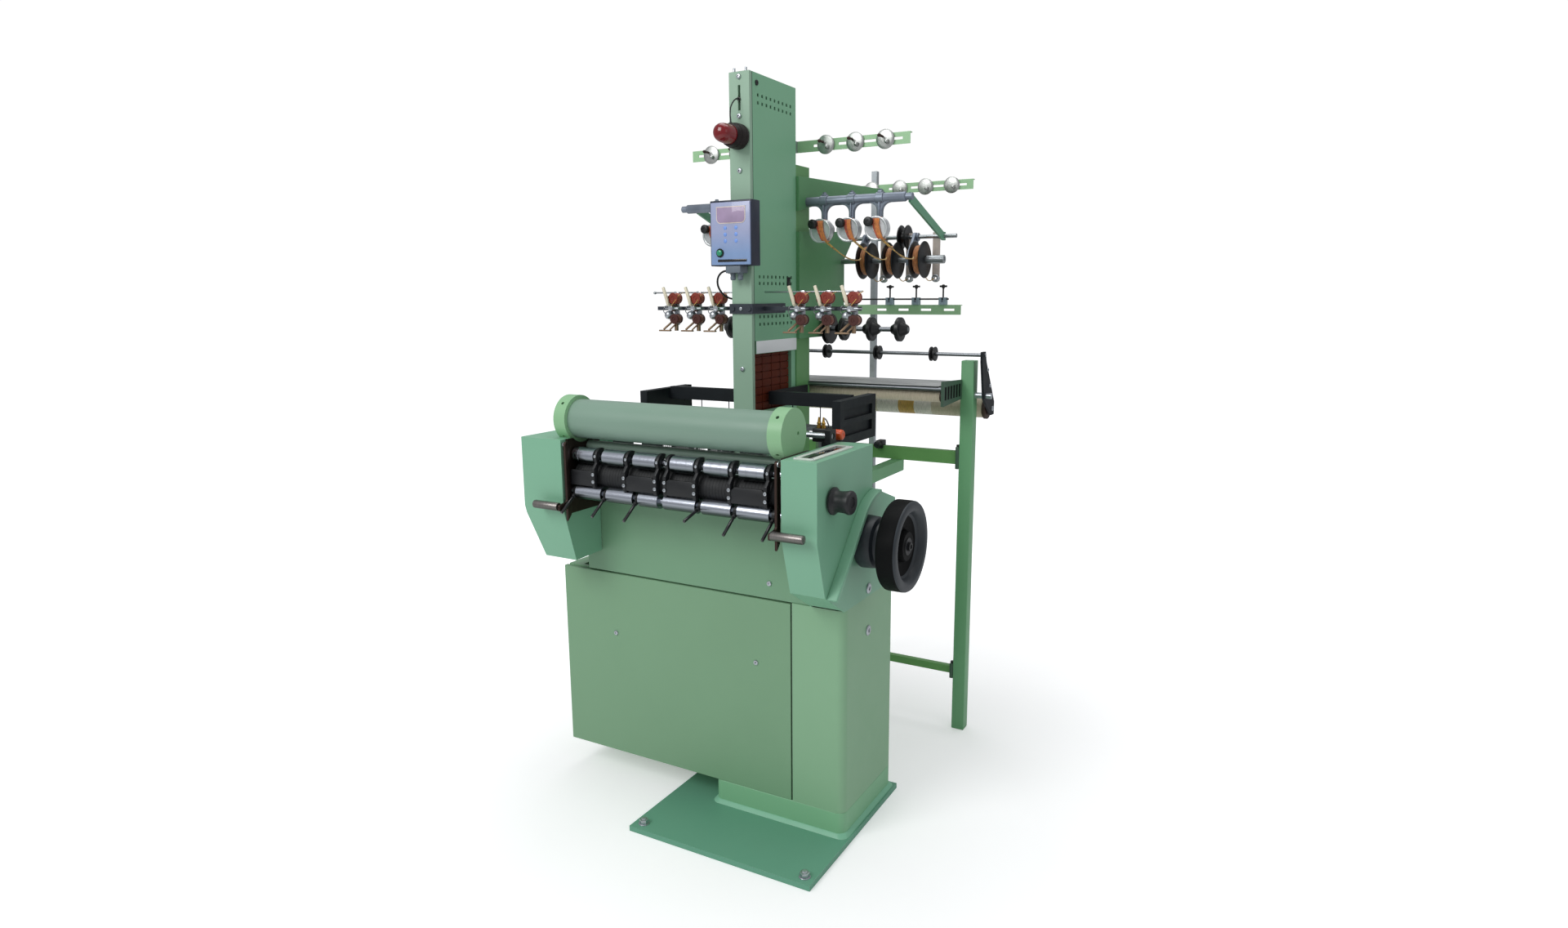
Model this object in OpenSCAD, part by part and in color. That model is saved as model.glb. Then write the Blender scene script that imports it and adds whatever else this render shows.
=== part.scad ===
// Narrow-fabric needle loom: six webbing heads on a pedestal, with a pattern-chain
// tower, a yarn creel and a warp stand. X runs along the rollers, the front is -Y.
// The origin is on the floor, under the middle of the base plate.

/* [Base] */
// Width of the base plate, along the rollers
base_w = 585; // [540:5:640]
// Depth of the base plate
base_d = 588; // [540:5:640]
// Thickness of the base plate
base_t = 16; // [12:1:22]
// Distance of a levelling bolt from the plate's edges
bolt_inset = 30; // [24:1:38]
// Radius of a levelling bolt
bolt_r = 8; // [6:0.5:9]

/* [Body] */
// Width of the cast foot under the body
foot_w = 427; // [380:1:440]
// Height of the cast foot
foot_h = 72; // [50:1:90]
// Right side of the body, from the middle of the base plate
body_right = 277; // [262:1:290]
// Front of the body, ahead of the middle of the base plate
body_front = 60; // [50:1:80]
// Depth of the body
body_depth = 343; // [325:1:350]
// Width of the body with its cabinet
body_w = 977; // [960:1:990]
// Height of the body's top above the floor
body_top = 680; // [660:1:690]
// Wall of the body
body_wall = 6; // [4:0.5:8]
// Width of the column's strip beside the door
strip_w = 161; // [140:1:180]
// Gap between the door and the strip
door_gap = 5; // [3:0.5:8]
// Depth of the door panel
door_t = 15; // [12:1:18]

/* [Head] */
// Width of the right casing
right_casing_w = 102; // [96:1:110]
// Width of the left casing
left_casing_w = 155; // [145:1:165]
// Distance between the casings, along the rollers
roller_span = 726; // [716:1:740]
// Front of the casings, ahead of the middle of the base plate
casing_front = 222; // [218:1:236]
// Height of the casings' top above the floor
casing_top = 1111; // [1105:1:1116]
// Sheet of the casings
casing_wall = 5; // [3:0.5:6]
// Height of the main shaft above the floor
shaft_z = 853; // [845:1:860]
// Radius of the main shaft
shaft_r = 15; // [12:0.5:17]
// Radius of the handwheel
wheel_r = 124; // [110:1:130]

/* [Rollers] */
// Number of webbing heads on each side of the middle
heads_per_side = 3; // [2:1:3]
// Distance between neighbouring heads
head_pitch = 110.5; // [108:0.5:112]
// Distance between the two heads beside the middle
mid_gap = 127; // [122:1:130]
// Length of a chrome press sleeve
sleeve_w = 78; // [70:1:80]
// Radius of a chrome press sleeve
press_r = 24; // [20:0.5:25]
// Radius of the driven take-off roller
takeoff_r = 40; // [36:0.5:42]
// Radius of the front tube
tube_r = 57; // [52:0.5:59]
// Radius of the front tube's end caps
cap_r = 69; // [64:0.5:72]
// Length of a press lever below its hub
lever_len = 88; // [70:1:95]

/* [Tower] */
// Width of the tower
tower_w = 70; // [64:1:76]
// Height of the tower's top above the floor
tower_top = 2160; // [2120:1:2200]
// Width of the control box
box_w = 145; // [130:1:150]
// Height of the control box
box_h = 190; // [175:1:200]
// Radius of the beacon's body
beacon_r = 37; // [30:1:40]

/* [Creel] */
// Half length of the thread rails
rail_half = 402; // [385:1:420]
// Height of a rail's face
rail_h = 36; // [30:1:40]
// Height of the upper rail's top above the floor
rail1_top = 2008; // [1990:1:2020]
// Height of the middle rail's top above the floor
rail2_top = 1931; // [1915:1:1945]
// Height of the lower rail's top above the floor
rail3_top = 1478; // [1465:1:1490]
// Radius of a black feed wheel
feed_r = 62; // [54:1:66]
// Height of the rear posts
post_h = 1300; // [1270:1:1310]
// Width of a rear post
post_w = 34; // [30:1:38]
// Radius of the warp roll
warp_r = 37; // [30:1:38]

/* [Hidden] */
$fn = 40;
// Clearances and the overrun of every cut
overrun = 1;
run_clear = 0.05;
seat_clear = 0.3;
open_clear = 3;
joint_clear = 0.1;

// Places on the body, worked out from the sizes above
base_x = [-base_w / 2, base_w / 2];
base_y = [-base_d / 2, base_d / 2];
foot_x = [body_right - foot_w, body_right];
body_back = body_depth - body_front;
foot_wall = 12;
foot_corner = 25;
foot_z = [base_t, base_t + foot_h];
body_x = [body_right - body_w, body_right];
strip_x = body_right - strip_w;
door_face = -body_front + door_t;
door_lip = 8;
door_rim = 26;
door_seam = 4;
screw_r = 5;
screw_head_r = 7.5;
screw_head_t = 4;

// Places on the head
head_right = body_right - right_casing_w;
head_left = head_right - roller_span;
bed_inset = 90;
bed_x = [body_x[0] + bed_inset, head_right];
bed_wall = 18;
bed_floor_t = 10;
bed_front = door_face;
bed_wall_top = 1.17233 * shaft_z;
bed_back_top = 1.12544 * shaft_z;
cover_t = 12;
cover_top = 1.06096 * shaft_z;
shaft_y = 50;
bed_in = [bed_x[0] + bed_wall, bed_x[1] - bed_wall];
plate_t = 12;
left_plate_x = [head_left, head_left + 2 * plate_t / 3];
right_plate_x = [head_right - plate_t, head_right];
span_in = [left_plate_x[1], right_plate_x[0]];
span_len = span_in[1] - span_in[0];

// Places of the rollers: the press sleeves and guide sleeves lie round the take-off roller
roller_mid = (span_in[0] + span_in[1]) / 2 - 0.675 * takeoff_r;
half_heads = [for (i = [0 : heads_per_side - 1]) mid_gap / 2 + i * head_pitch];
head_x = concat([for (i = [heads_per_side - 1 : -1 : 0]) roller_mid - half_heads[i]],
        [for (i = [0 : heads_per_side - 1]) roller_mid + half_heads[i]]);
roller_shaft_r = 10;
takeoff_y = -142;
takeoff_z = 1.17468 * shaft_z;
takeoff_shaft_r = 12;
roller_gap = 0.5;
press_lean = 22;
guide_lean = 136;
guide_r = 21.5;
press_reach = takeoff_r + press_r + roller_gap;
press_y = takeoff_y - press_reach * sin(press_lean);
press_z = takeoff_z + press_reach * cos(press_lean);
guide_reach = takeoff_r + guide_r + roller_gap;
guide_y = takeoff_y - guide_reach * sin(guide_lean);
guide_z = takeoff_z + guide_reach * cos(guide_lean);
web_bar_r = 17;
web_bar_y = takeoff_y + 0.95 * takeoff_r;
web_bar_z = press_z + web_bar_r;
tube_y = takeoff_y + 0.3 * takeoff_r;
tube_z = 1.0468 * casing_top;
cap_w = 42;
tube_x = [head_left - 1.1 * takeoff_r, head_right - plate_t];

// Levers stand at these shares of the clear roller span, read off the photograph
press_lever_shares = [0.021, 0.18, 0.34, 0.64, 0.8, 0.965];
press_lever_x = [for (s = press_lever_shares) span_in[0] + s * span_len];
lever_hub_r = 15;
lever_hub_w = 10;
lever_rod_r = 4.5;
lever_drops = [36, 36, 36, 16, 36, 36];

// Places of the weft needle rod and the knitting needle shaft
weft_y = 1.5 * shaft_y;
weft_z = 1.018 * casing_top;
weft_rod_r = 8;
knit_y = takeoff_y + 1.675 * takeoff_r;
knit_z = takeoff_z + 0.825 * takeoff_r;
knit_rod_r = 6;

// Places of the tower and the creel
mid_x = roller_mid + 3;
tower_x = [mid_x - tower_w / 2, mid_x + tower_w / 2];
tower_front = 235;
tower_depth = 284;
tower_back = tower_front + tower_depth;
tower_post_t = 15;
tower_foot_z = body_top + bed_floor_t;
cover_sheet = 4;
cover_bottom = 0.63796 * tower_top;
window_bottom = 0.53704 * tower_top;
column_y = [tower_back, tower_back + 0.32746 * tower_depth];
column_top = 0.99845 * rail2_top;
side_plate_t = 12;
creel_plate_x = [tower_x[1], tower_x[1] + side_plate_t];
rail_x = [mid_x - rail_half, mid_x + rail_half];
rail_t = 3;
rail_lip = 18;
rail1_y = tower_back + 0.2007 * tower_depth;
rail2_y = tower_back + 2.40845 * tower_depth;
rail3_y = tower_back + 2.04577 * tower_depth;
creel_post_w = 22;
creel_post_y = rail2_y + rail_lip + joint_clear;
disc_first = 116;
disc_pitch = 103;
feeder_first = 110;
feeder_pitch = 98;
sides = [-1, 1];
slots = [0, 1, 2];

// Basic bars and plates, given by their ends along each axis
module slab(x, y, z) {
  translate([x[0], y[0], z[0]]) cube([x[1] - x[0], y[1] - y[0], z[1] - z[0]]);
}
module bar_x(x, y, z, r) {
  translate([x[0], y, z]) rotate([0, 90, 0]) cylinder(h = x[1] - x[0], r = r);
}
module bar_y(y, x, z, r) {
  translate([x, y[1], z]) rotate([90, 0, 0]) cylinder(h = y[1] - y[0], r = r);
}
module bar_z(x, y, z, r) {
  translate([x, y, z[0]]) cylinder(h = z[1] - z[0], r = r);
}
// A plate across X whose outline is given as points (y, z)
module plate_x(x, points) {
  translate([x[0], 0, 0]) rotate([90, 0, 90]) linear_extrude(x[1] - x[0]) polygon(points);
}
// A plate across Y whose outline is given as points (x, z)
module plate_y(y, points) {
  translate([0, y[1], 0]) rotate([90, 0, 0]) linear_extrude(y[1] - y[0]) polygon(points);
}
// An upright prism with round corners
module round_slab(x, y, z, r) {
  slab([x[0] + r, x[1] - r], y, z);
  slab(x, [y[0] + r, y[1] - r], z);
  for (cx = [x[0] + r, x[1] - r], cy = [y[0] + r, y[1] - r]) bar_z(cx, cy, z, r);
}
// A body of revolution about X, from points (distance along X, radius)
module turned_x(x, y, z, points) {
  translate([x, y, z]) rotate([0, 90, 0]) rotate_extrude() polygon([for (p = points) [p[1], p[0]]]);
}
// A hexagon-headed bolt along Z: shank below z, washer and head above it
module bolt_up(x, y, z, r, shank) {
  bar_z(x, y, [z - shank, z + overrun], r);
  bar_z(x, y, [z, z + r / 3], 2 * r);
  translate([x, y, z + r / 3]) cylinder(h = 1.4 * r, r = 1.7 * r, $fn = 6);
}
// A round screw head against a face that looks to -Y
module head_y(x, y, z, r, t) {
  bar_y([y - t, y], x, z, r);
}

// Base plate and its levelling bolts
// The rear right corner of the plate lies under the foot, so three corners have a bolt
bolt_places = [[base_x[0] + bolt_inset, base_y[0] + bolt_inset], [base_x[1] - bolt_inset, base_y[0] + bolt_inset],
               [base_x[0] + bolt_inset, base_y[1] - bolt_inset]];
module base_plate() {
  color("#5f9479")
  difference() {
    slab(base_x, base_y, [0, base_t]);
    for (p = bolt_places) bar_z(p[0], p[1], [-overrun, base_t + overrun], bolt_r + seat_clear);
  }
}

door_screw_shares = [[0.245, 0.67], [0.863, 0.67]];
cover_screw_share = [0.9, 0.2];
side_screw_shares = [-0.04, 0.17];
tower_bolt_shares = [0.99, 0.915, 0.81, 0.41];
module bolts_and_screws() {
  door_x = [body_x[0] - door_lip, strip_x - door_gap];
  door_w = door_x[1] - door_x[0];
  door_h = body_top - foot_z[1];
  cover_h = cover_top - body_top;
  color("silver") {
    for (p = bolt_places) bolt_up(p[0], p[1], base_t, bolt_r, base_t - seat_clear);
    for (s = door_screw_shares)
      head_y(door_x[0] + s[0] * door_w, -body_front, foot_z[1] + s[1] * door_h, screw_head_r, screw_head_t);
    head_y(bed_x[0] + cover_screw_share[0] * (strip_x - bed_x[0]), bed_front - cover_t,
       body_top + cover_screw_share[1] * cover_h, screw_head_r, screw_head_t);
    for (s = side_screw_shares)
      bar_x([body_right, body_right + screw_head_t], body_back / 3,
         body_top - s * door_h, 2 * screw_head_r);
    for (s = tower_bolt_shares)
      head_y(mid_x, tower_front, tower_foot_z + s * (tower_top - tower_foot_z), screw_head_r, screw_head_t);
    for (x = [tower_x[1] - 2 * screw_head_r, tower_x[0] + 2 * screw_head_r])
      bar_z(x, tower_front + tower_post_t / 2, [tower_top, tower_top + 3 * screw_head_t], screw_r);
  }
}

// Cast foot: an open box with round corners, on the plate
module pedestal_foot() {
  color("#6fa584")
  difference() {
    round_slab(foot_x, [-body_front, body_back], foot_z, foot_corner);
    round_slab([foot_x[0] + foot_wall, foot_x[1] - foot_wall],
         [-body_front + foot_wall, body_back - foot_wall],
         [foot_z[0] - overrun, foot_z[1] + overrun], foot_corner - foot_wall);
  }
}

// Body: a column over the foot and a cabinet to its left, open behind the door
pulley_r = 70;
belt_x = bed_x[0] - 0.65 * takeoff_r;
belt_w = 16;
belt_room = 12;
belt_slot_y = [shaft_y - pulley_r - belt_room, shaft_y + pulley_r + 2 * belt_room];
batten_y = 0;
batten_z = 1.08824 * body_top;
batten_shaft_r = 12;
module machine_body() {
  z = [foot_z[1], body_top];
  inner_x = [body_x[0] + body_wall, body_x[1] - body_wall];
  color("#7ba886")
  difference() {
    union() {
      round_slab([strip_x, body_x[1]], [-body_front, body_back], z, foot_corner);
      slab([body_x[0], body_x[1] - foot_corner], [door_face, body_back], z);
      slab([strip_x, strip_x + foot_corner], [-body_front, body_back], z);
    }
    slab(inner_x, [door_face + body_wall, body_back - body_wall],
      [z[0] + body_wall, z[1] - body_wall]);
    slab([body_x[0] + door_rim - door_lip + overrun, strip_x - door_gap - door_rim],
      [door_face - overrun, door_face + body_wall + overrun],
      [z[0] + door_rim, z[1] - door_rim]);
    slab([belt_x - belt_w, belt_x + belt_w], belt_slot_y, [z[1] - body_wall - overrun, z[1] + overrun]);
  }
}

module front_door() {
  x = [body_x[0] - door_lip, strip_x - door_gap];
  z = [foot_z[1] + seat_clear, body_top - door_seam];
  color("#769b7d")
  difference() {
    slab(x, [-body_front, door_face], z);
    slab([x[0] + door_rim, x[1] - door_rim], [-body_front + door_seam, door_face + overrun],
      [z[0] + door_rim, z[1] - door_rim]);
  }
}

module upper_front_cover() {
  color("#6c9574")
  slab(bed_x, [bed_front - cover_t, bed_front], [body_top, cover_top]);
}

// Bed of the head: floor, two bearing walls, back wall and a low front lip
module head_bed() {
  z0 = body_top;
  color("#6b9a7a")
  difference() {
    union() {
      slab(bed_x, [bed_front, body_back], [z0, z0 + bed_floor_t]);
      slab([bed_x[0], bed_in[0]], [bed_front, body_back], [z0, bed_wall_top]);
      slab([bed_in[1], bed_x[1]], [bed_front, body_back], [z0, bed_wall_top]);
      slab(bed_x, [body_back - bed_wall, body_back], [z0, bed_back_top]);
      slab(bed_x, [bed_front, bed_front + bed_floor_t], [z0, cover_top]);
      for (x = [[bed_x[0], bed_in[0]], [bed_in[1], bed_x[1]]])
        slab(x, [weft_y - bed_wall, weft_y + bed_wall], [bed_wall_top, weft_z + bed_wall]);
    }
    bar_x([bed_x[0] - overrun, bed_x[1] + overrun], shaft_y, shaft_z, shaft_r + run_clear);
    bar_x([bed_x[0] - overrun, bed_x[1] + overrun], batten_y, batten_z, batten_shaft_r + run_clear);
    bar_x([bed_x[0] - overrun, bed_x[1] + overrun], weft_y, weft_z, weft_rod_r + run_clear);
  }
}

// Outlines of the casings, as points (y, z)
casing_skirt_y = -0.7973 * casing_front;
casing_knee_z = 1.06096 * shaft_z;
casing_hem_z = 1.10588 * body_top;
casing_back_y = 115;
left_back_y = 1.6 * shaft_y + pulley_r;
casing_shoulder_z = 1.16061 * shaft_z;
casing_tail_z = 1.09027 * shaft_z;
tube_seat_r = cap_r + seat_clear;
module left_casing() {
  x = [head_left - left_casing_w, head_left];
  taper = 36;
  w = casing_wall;
  color("#6fa887")
  difference() {
    intersection() {
      plate_x(x, [[-casing_front, casing_top], [left_back_y, casing_top],
            [left_back_y, casing_hem_z], [casing_skirt_y, casing_hem_z - 2 * w],
            [-casing_front, casing_knee_z]]);
      plate_y([-casing_front - overrun, left_back_y + overrun],
          [[x[0], casing_top + overrun], [x[1], casing_top + overrun],
          [x[1], casing_hem_z - 3 * w], [x[0] + taper, casing_hem_z - 3 * w],
          [x[0], shaft_z + taper]]);
    }
    // Room for the bed, and the hollow of the sheet
    slab([bed_x[0], x[1] + overrun], [-body_front, left_back_y + overrun],
      [body_top, casing_top + overrun]);
    plate_x([x[0] + taper + w, x[1] - w],
        [[-casing_front + w, casing_top - w], [-body_front, casing_top - w],
        [-body_front, casing_hem_z - 3 * w], [casing_skirt_y + w, casing_hem_z - 3 * w],
        [-casing_front + w, casing_knee_z]]);
    slab([x[0] + taper + w, bed_x[0] - w], [-body_front - overrun, left_back_y - w],
      [casing_hem_z - 3 * w, casing_top - w]);
    bar_x([tube_x[0] - open_clear, x[1] + overrun], tube_y, tube_z, tube_seat_r);
    bar_x([x[0], x[1] + overrun], shaft_y, shaft_z, shaft_r + open_clear);
  }
}

module right_casing() {
  x = [head_right, body_right];
  w = casing_wall;
  color("#6fa887")
  difference() {
    plate_x(x, [[-casing_front, casing_top], [casing_back_y, casing_top],
          [casing_back_y, casing_shoulder_z], [body_back, casing_tail_z],
          [body_back, body_top], [-body_front, body_top],
          [casing_skirt_y, casing_hem_z], [-casing_front, casing_knee_z]]);
    plate_x([x[0] + w, x[1] - w],
        [[-casing_front + w, casing_top - w], [casing_back_y - w, casing_top - w],
        [casing_back_y - w, casing_shoulder_z - w], [body_back - w, casing_tail_z - 2 * w],
        [body_back - w, body_top - overrun], [-body_front, body_top - overrun],
        [casing_skirt_y + w, casing_hem_z + w], [-casing_front + w, casing_knee_z]]);
    bar_x([x[0] - overrun, x[1] + overrun], shaft_y, shaft_z, shaft_r + open_clear);
    bar_x([x[0] - overrun, x[1] + overrun], takeoff_y, takeoff_z, takeoff_shaft_r + open_clear);
  }
}

// Sight plate on the right casing, and the oiler behind it with its cap and brass pipes
sight_w = 62;
sight_len = 240;
sight_t = 4;
oiler_side = 44;
oiler_y = weft_y + 0.52 * shaft_y;
module oil_fittings() {
  cx = (head_right + body_right) / 2;
  y0 = -casing_front + casing_wall * 4;
  slot = sight_w / 4;
  color("#cfd6cc")
  difference() {
    round_slab([cx - sight_w / 2, cx + sight_w / 2], [y0, y0 + sight_len],
         [casing_top, casing_top + sight_t], sight_w / 6);
    slab([cx - slot / 2, cx + slot / 2], [y0 + slot, y0 + sight_len - slot],
      [casing_top + sight_t / 2, casing_top + sight_t + overrun]);
  }
  oiler_x = [bed_in[1] - 1.4 * oiler_side, bed_in[1] - 0.4 * oiler_side];
  oiler_z = [casing_top - sight_t, casing_top + 0.9 * oiler_side];
  color("#1c1d20")
  union() {
    slab([oiler_x[1] - bed_wall, bed_in[1]], [oiler_y, oiler_y + oiler_side],
      [bed_wall_top - oiler_side, oiler_z[0]]);
    slab(oiler_x, [oiler_y, oiler_y + oiler_side], oiler_z);
  }
  color("#d4521f")
  bar_x([oiler_x[1], oiler_x[1] + oiler_side], oiler_y + oiler_side / 2,
     (oiler_z[0] + oiler_z[1]) / 2, oiler_side / 3);
  color("#b08d3e")
  for (i = [1, 2])
    bar_z(oiler_x[0] + i * oiler_side / 3, oiler_y + oiler_side / 3,
       [oiler_z[1], oiler_z[1] + 0.6 * oiler_side], oiler_side / 11);
}

// Steel side plates, the guide rod with its sleeves, and the fixed web bar
side_front = -0.9009 * casing_front;
module roller_side_plates() {
  hem = guide_z - 1.65 * takeoff_r;
  rod_in = [span_in[0] + joint_clear, span_in[1] - joint_clear];
  for (x = [left_plate_x, right_plate_x])
    color("#8f9496")
    difference() {
      slab(x, [side_front, -body_front], [hem, casing_top]);
      bar_x([left_plate_x[0] - overrun, left_plate_x[1] + overrun], tube_y, tube_z, tube_seat_r);
      bar_x([x[0] - overrun, x[1] + overrun], takeoff_y, takeoff_z, takeoff_shaft_r + run_clear);
      bar_x([x[0] - overrun, x[1] + overrun], press_y, press_z, roller_shaft_r + run_clear);
      bar_x([x[0] - overrun, x[1] + overrun], knit_y, knit_z, knit_rod_r + run_clear);
    }
  color("#c9ccd0")
  union() {
    bar_x(rod_in, guide_y, guide_z, roller_shaft_r);
    guide_sleeves();
  }
  color("#7f9788")
  bar_x(rod_in, web_bar_y, web_bar_z, web_bar_r);
  release_pins();
}
// Sleeves fill the guide rod between the levers and beside the middle
module guide_sleeves() {
  room = lever_hub_w;
  stops = concat([for (i = [0 : 2]) press_lever_x[i]], [roller_mid],
         [for (i = [3 : 5]) press_lever_x[i]]);
  for (i = [0 : len(stops) - 2])
    bar_x([stops[i] + room, stops[i + 1] - room], guide_y, guide_z, guide_r);
}

// Front tube with its ring flanges, and the end caps over them
module front_tube() {
  color("#7f9f8c")
  bar_x([tube_x[0] + cap_w, tube_x[1] - cap_w], tube_y, tube_z, tube_r);
}
module tube_end_caps() {
  hole_r = cap_r / 14;
  color("#86bb83")
  for (end = [[tube_x[0], tube_x[0] + cap_w], [tube_x[1] - cap_w, tube_x[1]]])
    difference() {
      bar_x(end, tube_y, tube_z, cap_r);
      for (a = [45, 135, 225, 315])
        translate([(end[0] + end[1]) / 2, tube_y, tube_z]) rotate([a, 0, 0])
          cylinder(h = cap_r + overrun, r = hole_r);
      bar_x([end[1] - hole_r, end[1] + overrun], tube_y + cap_r / 3, tube_z, hole_r);
    }
}

// Take-off roller on its shaft, and the knob that turns it by hand
knob_gap = 4;
knob_len = 56;
knob_r = 36;
module take_off_roller() {
  color("#26282a")
  union() {
    bar_x([span_in[0] + open_clear, span_in[1] - open_clear], takeoff_y, takeoff_z, takeoff_r);
    bar_x([left_plate_x[0] + open_clear, body_right + knob_gap + knob_len / 2],
       takeoff_y, takeoff_z, takeoff_shaft_r);
  }
}
knob_profile_shares = [[0, 0], [0, 1], [0.12, 1], [0.2, 0.8], [0.45, 0.76], [0.85, 0.86], [1, 0.78], [1, 0]];
module take_off_knob() {
  color("#1d1e20")
  difference() {
    turned_x(body_right + knob_gap, takeoff_y, takeoff_z,
        [for (s = knob_profile_shares) [s[0] * knob_len, s[1] * knob_r]]);
    bar_x([body_right, body_right + knob_gap + knob_len / 2], takeoff_y, takeoff_z,
       takeoff_shaft_r + run_clear);
  }
}

// Chrome press sleeves on their shaft
module press_rollers() {
  color("#c9ccd0")
  union() {
    bar_x([left_plate_x[0] + open_clear, right_plate_x[1] - open_clear], press_y, press_z, roller_shaft_r);
    for (x = head_x) bar_x([x - sleeve_w / 2, x + sleeve_w / 2], press_y, press_z, press_r);
  }
}

// Black ears between the sleeves, with a web in front of the first, third, fourth and last
ear_t = 10;
ear_shift = 5;
ear_front = side_front - 3;
ear_depth = 48;
ear_ring_r = 1.8 * roller_shaft_r;
web_t = 6;
web_y = [press_y - press_r - open_clear - web_t, press_y - press_r - open_clear];
web_z = [guide_z + guide_r + 2 * open_clear, press_z - 0.9 * press_r];
gap_w = head_pitch - sleeve_w;
function ear_at(x) = [x - ear_t / 2, x + ear_t / 2];
n_heads = 2 * heads_per_side;
ears = concat(
  [for (i = [0 : n_heads - 2]) if (i != heads_per_side - 1) (head_x[i] + head_x[i + 1]) / 2 - ear_shift],
  [roller_mid - gap_w / 2, roller_mid + gap_w / 2, head_x[n_heads - 1] + (sleeve_w + gap_w) / 2 - ear_shift]);
module roller_brackets() {
  webs = [[span_in[0], head_x[0] + head_pitch / 2],
      [head_x[heads_per_side - 1] - head_pitch / 2, roller_mid - gap_w / 2],
      [roller_mid + gap_w / 2, head_x[heads_per_side] + head_pitch / 2],
      [head_x[n_heads - 1] - head_pitch / 2, head_x[n_heads - 1] + (sleeve_w + gap_w) / 2]];
  color("#232427")
  difference() {
    union() {
      for (x = ears) {
        slab(ear_at(x), [web_y[0], press_y], [guide_z, press_z]);
        bar_x(ear_at(x), press_y, press_z, ear_ring_r);
        bar_x(ear_at(x), guide_y, guide_z, ear_ring_r);
      }
      for (w = webs) slab(w, web_y, web_z);
    }
    bar_x([span_in[0], span_in[1]], takeoff_y, takeoff_z, takeoff_r + open_clear);
    bar_x([span_in[0], span_in[1]], press_y, press_z, roller_shaft_r + open_clear / 4);
    bar_x([span_in[0], span_in[1]], guide_y, guide_z, roller_shaft_r + seat_clear);
    guide_room();
  }
  color("silver")
  for (x = ears, z = [0.35, 0.75])
    head_y(x, web_y[0], web_z[0] + z * (web_z[1] - web_z[0]), ear_t / 3, screw_head_t / 2);
}
// Room round the guide sleeves, so that the ears clear them
module guide_room() {
  stops = concat([for (i = [0 : 2]) press_lever_x[i]], [roller_mid],
         [for (i = [3 : 5]) press_lever_x[i]]);
  for (i = [0 : len(stops) - 2])
    bar_x([stops[i] + lever_hub_w - seat_clear, stops[i + 1] - lever_hub_w + seat_clear],
       guide_y, guide_z, guide_r + seat_clear);
}

// Press levers hang forward and down from their hubs on the guide rod
module press_lever(i) {
  x = press_lever_x[i];
  color("#1d1e20")
  difference() {
    union() {
      bar_x([x - lever_hub_w / 2, x + lever_hub_w / 2], guide_y, guide_z, lever_hub_r);
      translate([x, guide_y, guide_z]) rotate([90 + lever_drops[i], 0, 0])
        cylinder(h = lever_len, r = lever_rod_r);
    }
    bar_x([x - lever_hub_w, x + lever_hub_w], guide_y, guide_z, roller_shaft_r + run_clear);
  }
}

// Release levers: a steel arm on a pin at the top, with a chrome grip at the bottom
arm_t = 8;
arm_y = side_front - plate_t;
arm_half = 9;
pivot_z = 0.9874 * casing_top;
pivot_r = 5;
grip_z = 0.83956 * pivot_z;
grip_y = arm_y - 0.95 * takeoff_r;
grip_r = 12;
grip_len = 92;
module release_lever(arm_x, grip_x) {
  color("#9aa0a4")
  difference() {
    plate_x(arm_x, [[arm_y - arm_half, pivot_z + arm_half], [arm_y + arm_half, pivot_z + arm_half],
            [arm_y + arm_half, grip_z - 2 * grip_r], [arm_y - arm_half, grip_z - 4 * grip_r],
            [arm_y - arm_half, grip_z - grip_r], [grip_y - grip_r / 2, grip_z - grip_r],
            [grip_y - grip_r / 2, grip_z + grip_r / 2], [arm_y - arm_half, grip_z + grip_r]]);
    bar_x([arm_x[0] - overrun, arm_x[1] + overrun], arm_y, pivot_z, pivot_r + run_clear);
  }
  color("#c9ccd0")
  difference() {
    bar_x(grip_x, grip_y, grip_z, grip_r);
    bar_z(grip_x[0] + 0.7 * (grip_x[1] - grip_x[0]), grip_y, [grip_z, grip_z + grip_r + overrun], grip_r / 4);
  }
}
left_arm_x = [left_plate_x[1] + seat_clear, left_plate_x[1] + seat_clear + arm_t];
right_arm_x = [right_plate_x[0] - seat_clear - arm_t, right_plate_x[0] - seat_clear];
module left_release_lever() {
  release_lever(left_arm_x, [left_arm_x[0] - grip_len, left_arm_x[0] - joint_clear]);
}
module right_release_lever() {
  release_lever(right_arm_x, [right_arm_x[1] + joint_clear, right_arm_x[1] + grip_len]);
}
// Pins of the release levers, with a tab that ties each to its side plate
module release_pins() {
  for (e = [[left_plate_x, left_arm_x], [right_plate_x, right_arm_x]]) {
    bar_x([min(e[0][0], e[1][0]), max(e[0][1], e[1][1])], arm_y, pivot_z, pivot_r);
    slab(e[0], [arm_y - pivot_r, side_front], [pivot_z - pivot_r, pivot_z + pivot_r]);
  }
}

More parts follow.
